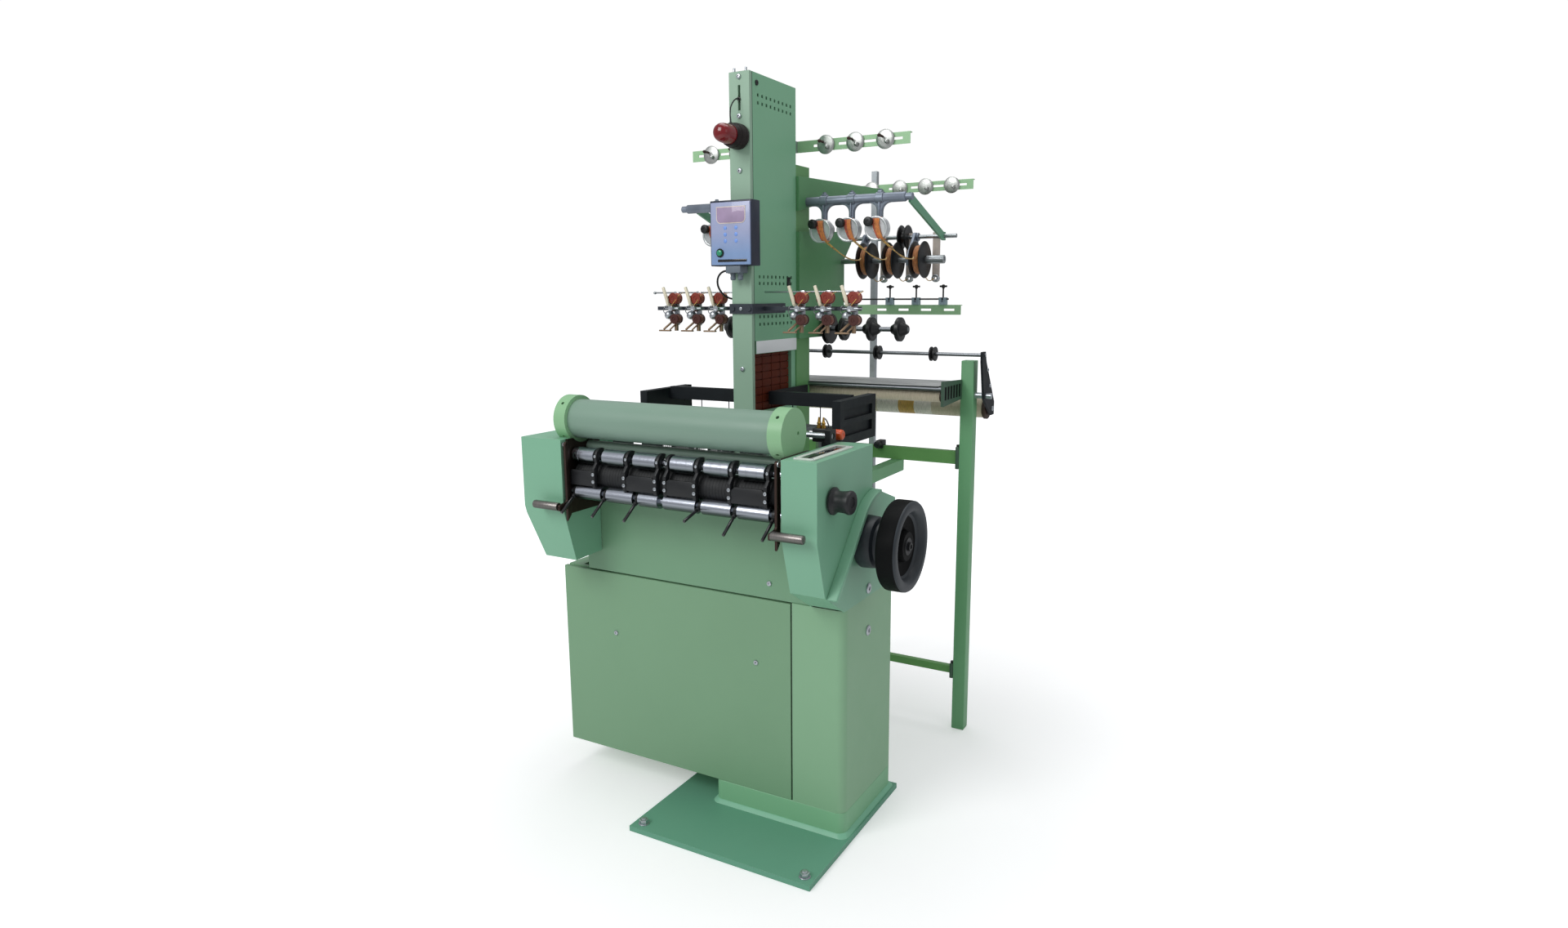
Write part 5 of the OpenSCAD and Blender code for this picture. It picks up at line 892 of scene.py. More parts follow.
def make_front_tube():
    tube_piece = turned("painted_tube", "X", (-130, 1163), "-553,0 -553,57 121,57 121,0", 96, 30)
    dressed(tube_piece, "tube_paint", "front_tube", slot="tube_paint")
    coat("tube_end_caps", "cap_rings", "cap_paint", 2.2, 3, slot="cap_paint")
    grubs = []
    for x in (-574, 142):
        for a in (45, 135, 225, 315):
            y, z = -64 * math.sin(math.radians(a)), 64 * math.cos(math.radians(a))
            inner, outer = (x, -130 + y * 0.9, 1163 + z * 0.9), (x, -130 + y, 1163 + z)
            grubs.append(rod(f"grub_{len(grubs)}", inner, outer, 4.4, 0.6, 16))
    group_of("grub_screws", "black_iron", grubs, slot="cap_paint")


def make_take_off():
    """The rubber roller with fine turned grooves, its shaft, and the black hand knob at its end."""
    outline = spots("-548,0 -548,12 -540,12 -540,38 -538,40")
    for i in range(1, 70):
        outline += spots("-0.9,40 -0.5,39.4 0.5,39.4 0.9,40", -538 + i * 10)
    outline += spots("158,40 160,38 160,12 309,12 309,0")
    roller = turned("rubber_roller", "X", (-142, 1002), outline, 72, 40)
    dressed(roller, "black_rubber", "take_off_roller", slot="rubber", body="take_off")
    knob = turned("roller_knob", "X", (-142, 1002),
        "281,12.3 281,34.6 282.2,36 286.5,36 288,34.8 292,29.4 296,27.8 306,27.4 318,28.6 328,31 333,30.6 "
        "336,28.4 337,24 336.4,15 333,14 333,0 330,0 330,12.3", 72)
    dressed(knob, "black_iron", "take_off_knob", slot="black_plastic", body="take_off")


def make_handwheel():
    """A deep dished wheel on a collar, with rounded rims, turned inside and out."""
    wheel = turned("dished_wheel", "X", (50, 853),
        "281,18.6 281,68 282,69.4 287,72 289.5,73 322,70.8 326.5,68.5 332,58 336,56 352,52.6 356,53.6 359,62 "
        "361.6,98 364,112 367.4,120.5 371.6,123.6 376,124 410,124 417,123.2 421,120.6 422.8,116 423,102 "
        "421.6,98.4 417,93.4 404,88.4 399,82 392.6,54.6 392,49 394.6,45.4 398,44.2 409,40.6 411.4,38.6 "
        "411.6,18.6", 128, 30)
    dressed(wheel, "wheel_black", "handwheel", slot="black_plastic", body="drive")
    repaint(wheel, "dish_grey",
        lambda at, normal: at.x < 345 or (math.hypot(at.y - 50, at.z - 853) > 84 and normal.x > 0.3))
    hub = [turned("hub_washer", "X", (50, 853), "409.8,0 409.8,24 412.6,24 413.4,23 413.4,0", 40),
           turned("hub_screw", "X", (50, 853), "413.4,0 413.4,12 419,12 420.4,10.6 420.4,6.4 416.6,6 "
               "416.6,0", 32)]
    group_of("wheel_hub_screw", "black_iron", hub, slot="black_plastic", body="drive")


def make_press_rollers():
    """Chrome sleeves on their shaft: a plain middle band between two grooves, and eased ends."""
    shaft = (-166.2, 1061.8)
    made = [turned("press_shaft", "X", shaft, "-548,0 -548,10 172,10 172,0", 40)]
    made += [turned(f"press_sleeve_{i}", "X", shaft, spots(
        "-39,10 -39,22.4 -37.6,24 -17,24 -16.2,23.3 -14.8,23.3 -14,24 14,24 14.8,23.3 16.2,23.3 17,24 37.6,24 "
        "39,22.4 39,10", x), 72, 30) for i, x in enumerate(HEADS)]
    group_of("press_sleeves", "chrome", made, "press_rollers", slot="chrome", body="press")


def make_brackets():
    """Black ears that hook over the press shaft, chamfered webs between them, and pairs of bright screws."""
    ears = [-451.25, -340.75, -233.25, -200.75, -103.25, 7.25, 117.75]
    webs = spots("-543,-446.3 -335.7,-233.3 -200.7,-98.3 12.3,117.7")
    first, shaft = ears[0], (-166.2, 1061.8)
    hook = arc(shaft, 26.4, 212, 60, 14) + arc(shaft, 10.8, 60, 212, 8)
    outline = spots("-201,976 -203,984 -203,1032") + hook + spots("-182,1036 -188,1016 -191,990 -191,976")
    made = along_row(plate("ear_1", "X", (first - 5, first + 5), outline, 1.2), ears)
    for i, (x0, x1) in enumerate(webs):
        made.append(plate(f"web_{i}", "Y", (-202, -195.6), [(x0, 980), (x1, 980), (x1, 1014), (x1 - 12, 1024),
            (x0 + 12, 1024), (x0, 1014)], 1.2))
    group_of("sleeve_brackets", "black_iron", made, "roller_brackets", slot="black_paint")
    trio = [socket_screw(f"ear_screw_{i}", (first, -203, z), 5.2, 2.8) for i, z in enumerate((994, 1015))]
    trio.append(socket_screw("ear_top_screw", (first, -191.6, 1066), 4.2, 2.4))
    group_of("ear_screws", "zinc", along_row(joined("ear_screw_set", trio), ears), slot="zinc")


def make_press_levers():
    for i, (x, drop) in enumerate(zip(LEVERS, DROPS), 1):
        lean = Vector((0, -math.cos(math.radians(drop)), -math.sin(math.radians(drop))))
        centre = Vector((x, -185.1, 957.4))
        hub = turned(f"press_hub_{i}", "X", centre.yz, spots(
            "-5,10.4 -5,13.8 -3.8,15 3.8,15 5,13.8 5,10.4", x), 48)
        boss = rod(f"press_boss_{i}", centre + 13 * lean, centre + 24 * lean, 6.4, 1.4, 24)
        group_of(f"press_hub_and_boss_{i}", "black_iron", [hub, boss], f"press_lever_{i}", slot="black_paint",
            body=f"lever_{i}")
        stick = rod(f"press_stick_{i}", centre + 20 * lean, centre + 88 * lean, 4.5, 1.6, 24)
        dressed(stick, "black_gloss", slot="black_paint", body=f"lever_{i}")


def make_release_levers():
    """On each side a bent arm on its pivot pin, and a bright grip with a pin let into it."""
    for side, out, arm_x, root, tip in (
            ("left", -1, (-542.7, -534.7), -542.8, -634.7), ("right", 1, (154.7, 162.7), 162.8, 254.7)):
        here = {"slot": "chrome", "body": f"{side}_release"}
        arm = plate(f"{side}_release_arm", "X", arm_x, "-221,1100 -216,1106 -208,1106 -203,1100 -203,897 "
            "-206,890 -221,873 -221,909 -254,909 -256,913 -256,924 -253,927 -226,931 -221,936", 1.2, 2)
        dressed(arm, "dark_plate", f"{side}_release_lever", **here)
        bar = turned(f"{side}_release_grip", "X", (-250, 921), [
            (root, 0), (root, 11.4), (root + out, 12), (tip - 3 * out, 12), (tip - out, 11.4), (tip, 9.6),
            (tip, 5), (tip - 1.2 * out, 4.2), (tip - 1.2 * out, 0)], 48)
        dressed(bar, "grip_steel", **here)
        plug = turned(f"{side}_grip_pin", "Z", (root + (tip - root) * 0.7, -250),
            spots("932,0 932,3 932.7,3 932.7,2 932.2,0"), 16)
        dressed(plug, "black_iron", **here)
        face = arm_x[0] if out < 0 else arm_x[1]
        pivot = turned(f"{side}_pivot_pin", "X", (-212, 1097),
            [(face + out * a, r) for a, r in spots("0.1,0 0.1,8 2.6,8 3.4,6.6 3.4,0")], 28)
        dressed(pivot, "zinc", **here)


# Weaving parts and drive, most of them behind the tube


def make_weaving():
    coat("batten", "batten_and_reeds", "steel_plate", 0.6, slot="steel", body="batten_body")
    coat("weft_needles", "weft_needle_set", "zinc", 0.5, slot="steel", body="weft")
    coat("knitting_needles", "knitting_needle_set", "zinc", 0.4, slot="steel", body="knit")
    for i in range(1, 5):
        coat(f"heald_frame_{i}", f"heald_pair_{i}", "steel_plate", 0.4, slot="steel", body=f"heald_{i}")
    coat("shed_frame", "shed_stand", "black_shed", 1.2, slot="black_paint")
    carry("main_shaft", "steel_rod")
    carry("motor", "motor_paint")
    carry("motor_pulley", "steel_plate")
    carry("drive_belt", "belt_rubber")
    carry("pattern_drum", "steel_plate")


# Tower: posts, covers with vents, chain, latches and the strap


def make_tower():
    painted_copy("tower_frame", "tower_posts", [
        ("black_plastic", lambda low, high, size: high.y < 235.5),
        ("steel_rod", lambda low, high, size: low.z > 2085 and high.z < 2135),
        ("post_paint", lambda low, high, size: high.y < 251),
        ("column_paint", lambda low, high, size: low.y > 518.5),
        ("tower_paint", None)], 1.0, "tower_green")
    coat("tower_cover", "vented_covers", "tower_paint", 0.5, 2, 3.4, upright_outer((-179, -249), (250,)),
        slot="cover_green")
    group_of("window_strips", "strip_paint", [
        block("strip_right", (-180, -178.5), (259.5, 518.5), (1339, 1377.4), 0.4),
        block("strip_left", (-249.5, -248), (259.5, 518.5), (1339, 1377.4), 0.4)], slot="cover_green")
    coat("pattern_chain", "chain_runs", "chain_brown", 0.5, 1, slot="chain_brown")
    group_of("cover_latches", "black_plastic", [
        turned("round_latch", "X", (276, 2132),
            "-179,0 -179,8 -176.4,8 -175.6,7 -175.6,3 -177,2.4 -177,0", 28),
        block("square_latch", (-179.2, -175.6), (455, 474), (1546, 1573), 1.2)], slot="black_plastic")
    # Black plates just behind the vent holes: painted shade of the cover's inside, seen through the vents.
    painted_shades = [block(f"vent_liner_{x}_{z}", (x, x + 1.6), (276, 494), (z - 18, z + 18), 0.3)
              for x in (-184, -245.6) for z in (2088, 1562, 1440)]
    group_of("vent_painted_shades", "wheel_black", painted_shades, slot="black_plastic")
    # A black strip along the gap between the front post and the cover: painted shadow of the gap.
    gap_shadow_strip = block("post_gap_shadow_strip", (-179.6, -178.7), (249.2, 251.4), (1377, 2158), 0.3)
    dressed(gap_shadow_strip, "black_rubber", slot="rubber")


# Control box with its face, screen, keys and button



def make_control_box():
    on_box = {"slot": "box_metal"}
    case = block("control_case", (-291.5, -146.5), (185.6, 235), (1603, 1793), 2.6, 3)
    dressed(case, "box_side", "control_box", **on_box)
    dressed(block("control_face", (-285.5, -149.5), (180, 186.4), (1606, 1787), 1.6, 3), "face_film", **on_box)
    for name, finish, span, grow, edge in (("screen_rim", "pale_tab", (178.8, 180.4), 2.6, 0.4),
                                           ("control_screen", "screen_glass", (178.2, 180.2), 0, 0.3)):
        outline = [(-262.5 - grow, 1772 + grow), (-166.8 + grow, 1772 + grow)]
        outline += arc((-178.8, 1740), 12 + grow, 0, -90, 6) + arc((-250.5, 1740), 12 + grow, 270, 180, 6)
        dressed(plate(name, "Y", span, outline, edge), finish, **on_box)
    first, *others = [(x, z) for x in (-234.9, -197.3) for z in (1713.2, 1694.2, 1675.2)]
    key = turned("key_1", "Y", first, "178.6,0 178.6,4.4 179,5.2 179.8,5.8 180.4,5.8 180.4,0", 32)
    group_of("control_keys", "key_blue", [key] + [moved_copy(key, f"key_{i}", (x - first[0], 0, z - first[1]))
        for i, (x, z) in enumerate(others, 2)], **on_box)
    dressed(block("face_strip", (-262, -161), (178.8, 180.4), (1614.5, 1622), 0.5), "black_gloss", **on_box)
    at_button = (-253.8, 1641)
    ring = turned("button_ring", "Y", at_button, "180.3,9.3 177.6,9.3 177,10 177,12 177.8,13 180.3,13", 48)
    dressed(ring, "black_plastic", **on_box)
    button = turned("green_button", "Y", at_button,
        "194.8,0 194.8,8.6 174.6,8.9 173,8.2 172.2,6.6 172,0", 48)
    dressed(button, "button_green", "push_button", slot="button_green", body="button")
    glands = [block("gland_block", (-240, -188), (186, 230), (1582, 1604), 2.4, 3)]
    glands += [turned(f"gland_{i}", "Z", (x, 208),
        "1583,0 1583,9 1578,9 1577,7.6 1572,7.6 1571,8.6 1564,8.2 1561.4,6.4 1561,0", 12, 20)
        for i, x in enumerate((-227, -201))]
    glands.append(turned("side_gland", "X", (208, 1589),
        "-239.5,0 -239.5,8 -243,8 -243.6,6.8 -246.4,5.6 -247,4 -247,0", 24))
    group_of("gland_set", "box_grey", glands, slot="black_plastic")


def make_beacon():
    """A dark round base with two grooves, and a clear red dome held by a ring."""
    shell = turned("beacon_base", "Y", (-214, 1976),
        "235,0 235,33.4 233.6,34.4 229.4,36.8 224,37 219,37 218,35.8 216.6,35.8 215.6,37 204,36.6 196,35.2 "
        "195,34 193.6,34 192.6,34.8 181,32.6 178.4,31.6 178,30.8 178,0", 72)
    boss = turned("beacon_boss", "Z", (-220, 196),
        "2000,0 2000,6.8 2006,6.4 2007,5.2 2012.4,4.4 2013,3.2 2013,0", 24)
    group_of("beacon_shell", "beacon_shell", [shell, boss], "beacon", slot="lamp_red")
    dome = turned("beacon_dome", "Y", (-214, 1976),
        "179,0 179,28 176,28 150,27.4 140,26.8 132,25 126,22.2 121.6,17.8 118.6,11.6 117.3,5.6 117,0", 72, 60)
    dressed(dome, "red_dome", slot="lamp_red")


def make_strap():
    coat("tensioner_bar", "strap_and_bar", "graphite", 1.2, slot="graphite")
    group_of("strap_bolt", "zinc", [socket_screw("side_strap_bolt", (-173, 418, 1476), 6.4, 7, "X", 1),
        socket_screw("front_strap_bolt", (-214, 229, 1476), 5.4, 3.4)], slot="zinc")


# Creel: slotted rails, disc tensioners, clamp bars, storage drums and feed wheels
DISCS = [-330, -433, -536, -98, 5, 108]
FORKS = [-324, -422, -520, -104, -6, 92]
FEEDS = [-359.9, -456.4, -553.8, -68.1, 28.4, 125.8]
TABS = [-394.2, -490.7, -588.1, -33.8, 62.7, 160.1]
HANGERS = [-514, -326, -102, 86]
SPOOLS = [-327, -414, -501, -39, 48, 135]
GUIDES = [-338, -440, -542, -90, 12, 114]
DRUM_Z = 1719.9


def make_rails():
    painted_copy("creel_rails", "thread_rails", [
        ("rail_paint", lambda low, high, size: size.x > 400), ("alloy_post", None)], 0.7, "rail_green")


def make_tensioners():
    """Pairs of sprung discs with a stem behind them, and a core pin in front of the near row."""
    bells, cores, stems = [], [], []
    x = DISCS[0]
    for y, z, row in ((576, 1990, DISCS), (1203, 1913, DISCS + [-214])):
        bells += along_row(turned(f"bell_{y}", "Y", (x, z), spots(
            "0,0 0,13.2 -1.6,15 -2,28.2 -2.8,29.55 -3.8,28.2 -4.2,18 -5.4,18 -5.8,28.5 -6.6,30 -7.6,28.5 "
            "-8.8,21.6 -9.8,13.2 -10.4,9 -10.4,0", y), 48, 50), row)
        if row is DISCS:
            cores = along_row(turned("core_pin", "Y", (x - 8, z + 8), spots(
                "-7,0 -7,4 -30,3.8 -32,5.4 -36,5.4 -40,4.2 -43,2.2 -44,0", y), 24), row)
        stems += along_row(turned(f"stem_{y}", "Y", (x + 8, z - 8), spots(
            "-8,0 -8,7 -17,7 -19.4,5.4 -21,3 -21.2,0", y), 24), row)
    group_of("tension_discs", "dull_silver", bells, "thread_tensioners", slot="chrome")
    group_of("tension_cores", "flange_brown", cores, slot="spool_brown")
    group_of("tension_stems", "dull_silver", stems, slot="chrome")


def make_feeder_frame():
    """Creel plate, rear rod, stays and tabs, with a cast clamp bar and arched arms over each side."""
    painted_copy("feeder_frame", "creel_frame", [
        (None, lambda low, high, size: 360 < size.x < 600),
        ("steel_rod", lambda low, high, size: size.x > 600),
        ("creel_paint", lambda low, high, size: high.x < -166 and low.x > -180 and size.z > 300),
        ("stay_paint", lambda low, high, size: size.y > 300),
        ("pale_tab", lambda low, high, size: size.y < 5),
        ("cast_alloy", None)], 1.2, "creel_paint")
    arm = plate("creel_arm", "X", (-179, -167), "519,1892 1203,1913 1203,1856 858,1856 519,1784", 1.4)
    dressed(arm, "creel_paint", slot="creel_paint")
    bars = [turned(f"clamp_bar_{side}", "X", (576, 1815), spots(outline), 40) for side, outline in (
        ("right", "-167,0 -167,15 176,15 178,13.6 178,11 199.6,11 201,9.8 201,0"),
        ("left", "-249,0 -249,15 -640,15 -642,13.6 -642,11 -662.6,11 -664,9.8 -664,0"))]
    x = FORKS[0]
    outline = spots("-34,1808 -34,1800", x) + arc((x - 34, 1774), 26, 90, 0, 7)
    outline += spots("-8,1746 -11,1738 -11,1722 11,1722 11,1738 8,1746", x)
    outline += arc((x + 34, 1774), 26, 180, 90, 7) + [(x + 34, 1808)]
    fork = joined("clamp_arm_1", [
        plate("arm_web_1", "Y", (567.4, 584.6), outline, 2.4, 3),
        block("arm_rib_1", (x - 2.6, x + 2.6), (563, 568.4), (1744, 1806), 1.4, 3),
        turned("arm_hub_1", "Y", (x, DRUM_Z), "569,0 569,14 583,14 584,12.8 584,0", 32),
        turned("arm_collar_1", "X", (576, 1815), spots(
            "-13,14 -13,17.4 -11.6,18.6 11.6,18.6 13,17.4 13,14", x), 40),
        block("arm_ear_1", (x - 8, x + 8), (568, 584), (1830, 1838), 2.0, 3),
        hex_nut("arm_nut_1", x, 576, 1838, 6, 4.6)])
    group_of("clamp_castings", "cast_alloy", bars + along_row(fork, FORKS), slot="creel_paint")
    x = HANGERS[0]
    boss = joined("hanger_boss_1", [
        turned("rod_boss_1", "X", (905, 1712), spots(
            "-11,7.1 -11,12.6 -9.6,14 9.6,14 11,12.6 11,7.1", x), 36),
        turned("shaft_boss_1", "X", (840, 1632), spots(
            "-8,9.2 -8,14.4 -6.8,15.6 6.8,15.6 8,14.4 8,9.2", x), 36)])
    group_of("hanger_bosses", "cast_alloy", along_row(boss, HANGERS), slot="creel_paint")
    ring = turned("tab_ring_1", "Y", (TABS[0], 1570.7),
        "899,5.2 897.4,7 897.4,11.6 899.4,13.4 911,13.4 912.8,11.6 912.8,7 911,5.2", 36)
    group_of("tab_rings", "zinc", along_row(ring, TABS), slot="steel")


def make_drums():
    """Storage drums with adjusters and motors, the yarn wound on them, and its way to the feed wheels."""
    x, z = FORKS[0], DRUM_Z
    drum = turned("storage_drum_1", "Y", (x, z),
        "569,0 569,37 568,38 565.4,38 564,37 560.4,31 559,30.4 547.4,30.4 546,31 543.6,36.6 542.6,38 540.4,38 "
        "539.4,37.2 539,35.6 540,31.6 541.2,30.6 541.2,13 540.2,12 539,11.4 539,0", 64, 30)
    group_of("storage_drums", "white_drum", along_row(drum, FORKS), "feeder_drums", slot="white_plastic")
    winder = joined("adjuster_and_motor", [
        turned("adjuster_1", "Y", (x - 20.1, z + 20.9),
            "541,0 541,13.4 537,13.4 536,14.6 524,15 522,13.8 521,11.6 521,5 522.4,4 522.4,0", 36),
        turned("winder_motor_1", "Y", (x - 6, z + 6), "584,0 584,21 586,23 616,23 622,20 624,14 624,0", 36)])
    group_of("drum_adjusters", "black_plastic", along_row(winder, FORKS), slot="black_plastic")
    orange, red, gold = [], [], []
    for i, (drum_x, feed_x, tab_x) in enumerate(zip(FORKS, FEEDS, TABS)):
        for k in range(7):
            side = 3.2 * k
            route = [(drum_x - 6 + side, 556, z + 35), (drum_x - 8 + side, 540, z + 30),
                (drum_x - 7 + side, 536.8, z + 8), (drum_x + side * 0.9, 536.8, z - 12),
                (drum_x + 10 + side * 0.8, 540, z - 31), (drum_x + 18 + side * 0.5, 556, z - 33)]
            (red if k < 3 - i % 2 else orange).append(tube(f"wrap_{i}_{k}", route, 1.8, 4))
        for k in range(2):
            step = 5 * k
            route = [(drum_x + 16 + step, 543, z - 32), (drum_x + 30 + step, 570, z - 52),
                ((drum_x + feed_x) / 2 + 34 - step, 650, z - 84), (feed_x + 18 - step, 730, z - 88),
                (feed_x + 2 * k, 779, 1640)]
            gold.append(tube(f"strand_{i}_{k}", route, 1.6, 4))
        route = [(feed_x - 4, 836, 1589), (feed_x + 12, 862, 1574), (tab_x - 14, 884, 1562),
            (tab_x - 4, 896, 1570)]
        gold.append(tube(f"tail_{i}", route, 1.5, 4))
    group_of("drum_yarn", "orange_yarn", orange, slot="spool_brown")
    group_of("drum_yarn_red", "red_yarn", red, slot="spool_brown")
    group_of("feed_strands", "gold_yarn", gold, slot="spool_brown")


def make_feed_wheels():
    """Six flanged wheels with their yarn on the feed shaft, and two loose wheels on the rod above."""
    shaft = turned("feed_shaft", "X", (840, 1632),
        "-651,0 -651,7.6 -649.6,9 151,9 151,13 152.4,14 212.6,14 214,12.6 214,8 210,7 210,0", 40)
    dressed(shaft, "steel_rod", slot="steel", body="feed")
    wheel = turned("feed_wheel_1", "X", (840, 1632), spots(
        "-22,9.2 -22,20 -20,30 -20.6,58 -19,61.4 -17,62 -15,60.6 -9,26 -8.4,22 8.4,22 9,26 15,60.6 17,62 "
        "19,61.4 20.6,58 20,30 22,20 22,9.2", FEEDS[0]), 72)
    group_of("feed_wheels", "black_plastic", along_row(wheel, FEEDS), "feed_rollers", slot="black_plastic",
        body="feed")
    pack = turned("yarn_pack_1", "X", (840, 1632), spots(
        "-8.6,21 -11.8,42 -9,47.6 0,49 9,47.6 11.8,42 8.6,21", FEEDS[0]), 72, 60)
    group_of("yarn_packs", "orange_pack", along_row(pack, FEEDS), slot="spool_brown", body="feed")
    upper = [turned(f"upper_wheel_{side}", "X", (905, 1712), spots(
        "-15,7.2 -15,40 -13,42 -10,41 -6,22 6,22 10,41 13,42 15,40 15,7.2", x), 56)
        for side, x in (("right", 44), ("left", -470))]
    group_of("upper_wheels", "black_plastic", upper, slot="black_plastic")


def make_stops():
    coat("stop_switches", "switch_bodies", "grey_switch", 1.0, slot="zinc")
    long_rod = turned("feeler_rod", "X", (1100, 1499), "-569,0 -569,3 141,3 141,0", 24)
    places = [-338.0, -443, -548, -90, 15, 120]
    feeler = joined("feeler_1", [
        turned("feeler_stick_1", "Z", (places[0], 1100),
            "1497,0 1497,5 1503,5 1504,3 1536,3 1538,4.4 1540.4,6.2 1545,7 1549.6,5.6 1551.6,3 1552,0", 28),
        turned("feeler_cross_1", "X", (1100, 1545), spots(
            "-14,0 -14,2.6 -13,3.5 13,3.5 14,2.6 14,0", places[0]), 20)])
    group_of("feelers", "black_plastic", [long_rod] + along_row(feeler, places), "stop_levers",
        slot="black_plastic", body="stops")


def bobbin(name, x, z, radius):
    """A flanged bobbin lying front to back, in front of its plate."""
    r = radius
    return turned(name, "Y", (x, z), [
        (296, 0), (296, r - 0.8), (295, r), (293, r), (292, r - 1.2), (291, 0.6 * r), (289, 0.56 * r),
        (273, 0.56 * r), (271, 0.62 * r), (270, r - 1.2), (269, r), (267, r), (266, r - 0.8), (266, 0.42 * r),
        (267.4, 0.36 * r), (267.4, 3), (266, 2.4), (266, 0)], 36)


def make_spools():
    """Pairs of tension bobbins on plates, with pale tongues, round cups and splayed feet."""
    x = SPOOLS[0]

    def row_of(name, finish, piece, slot="spool_brown", *stands_for, extra=()):
        group_of(name, finish, list(extra) + along_row(piece, SPOOLS), *stands_for, slot=slot)

    row_of("spool_mounts", "zinc", joined("spool_mount_1", [
        plate("spool_plate_1", "Y", (296, 300), spots(
            "-10,1426 -7,1422 7,1422 10,1426 10,1526 7,1530 -7,1530 -10,1526", x), 0.8),
        block("cross_plate_1", (x - 27, x + 25), (268, 299), (1474, 1478.6), 1.0),
        turned("spool_hub_1", "Y", (x, 1476), "297,0 297,10 262,10 260,8.6 260,3 261.4,0", 32),
        turned("cup_1", "Y", (x - 17, 1455), "290,0 290,12 280,14 270,12.6 265,8 263.6,0", 32, 60),
    ]), "chrome", "tension_spools")
    row_of("bobbins", "bobbin_red", bobbin("bobbin_upper", x + 7, 1508, 18.0))
    row_of("bobbin_yarn_set", "red_yarn", turned("bobbin_yarn", "Y", (x + 7, 1508),
        "290.8,10 290.4,15.4 282,16.6 275,15.6 271.6,10", 36, 60))
    row_of("dark_bobbins", "bobbin_dark", joined("lower_and_back", [
        bobbin("bobbin_lower", x + 9, 1443, 16.0),
        turned("back_cup", "Y", (x - 15, 1504), "298,0 298,12 284,13.4 272,12 270,8 270,0", 32)]))
    row_of("lower_yarn_set", "brown_yarn", turned("lower_yarn", "Y", (x + 9, 1443),
        "290.8,9 290.4,13.6 282,14.8 275,14 271.6,9", 36, 60))
    row_of("spool_tongues", "cream_tongue", joined("tongue_1", [
        plate("tongue_blade_1", "Y", (257, 264), spots(
            "-30,1542 -22,1545 -8,1508 -4,1488 -12,1486 -17,1502", x), 1.4),
        block("tongue_post_1", (x - 13, x - 5), (261, 297), (1484, 1491), 1.2)]))
    row_of("spool_feet", "tan_foot", joined("spool_foot_1", [
        rod("foot_leg_1", (x - 6, 292, 1440), (x - 31, 264, 1409), 3.4, 1.0, 16),
        rod("foot_leg_b_1", (x + 4, 292, 1430), (x - 12, 272, 1408), 2.6, 0.8, 16),
        block("foot_bar_1", (x - 48, x - 4), (260, 272), (1403, 1408), 1.6, 3),
        block("foot_tail_1", (x - 5, x + 5), (288, 298), (1404, 1428), 1.0)]))
    wires = [
        rod("top_wire_left", (-590, 303, 1526), (-255, 303, 1526), 2.4),
        rod("top_wire_right", (-173, 303, 1526), (158, 303, 1526), 2.4),
        turned("top_wire_ball", "X", (303, 1526), "-596,0 -595,3.6 -591,5 -587,3.6 -586,0", 24, 60)]
    row_of("guide_wires", "steel_rod", joined("wire_drop_1", [
        rod("wire_post_1", (x + 6, 303, 1526), (x + 6, 298, 1480), 2.0),
        tube("wire_hook_1", spots(
            "-24,296,1476 -31,280,1484 -34,272,1474 -30,270,1462 -24,276,1460", x), 1.3, 6),
    ]), "steel", extra=wires)
    row_of("spool_threads", "gold_yarn", tube("thread_1", spots(
        "26,300,1526 22,280,1518 18,266,1503 6,263,1488 -6,262,1476", x), 1.0, 4))


def make_guides():
    """Black guide wheels with cone hubs on their shaft, and the small wheels of the rear rod."""
    cone = turned("guide_wheel_1", "X", (700, 1402), spots(
        "-30,8.1 -30,12 -28,14 -8,26 -7,38.6 -5.4,40 5.4,40 7,38.6 8,26 28,14 30,12 30,8.1", GUIDES[0]), 56)
    wide = [turned(f"wide_guide_{x}", "X", (700, 1402), spots(
        "-9,8.1 -9,50 -7,52 -4,51 -2,40 2,40 4,51 7,52 9,50 9,8.1", x), 64) for x in (-282, -146)]
    group_of("guide_wheel_set", "black_plastic", along_row(cone, GUIDES) + wide, "guide_wheels",
        slot="black_plastic", body="guide")
    shaft = turned("guide_shaft", "X", (700, 1402), "-572.6,0 -572.6,7 -571,8 143,8 144.6,7 144.6,0", 32)
    dressed(shaft, "dull_rod", slot="steel", body="guide")
    painted_copy("wheel_rod", "rear_wheel_rod", [
        ("dull_rod", lambda low, high, size: size.x > 400),
        ("black_plastic", None)], 0.8, "steel", body="wheels")


# Rear stand with the warp roll


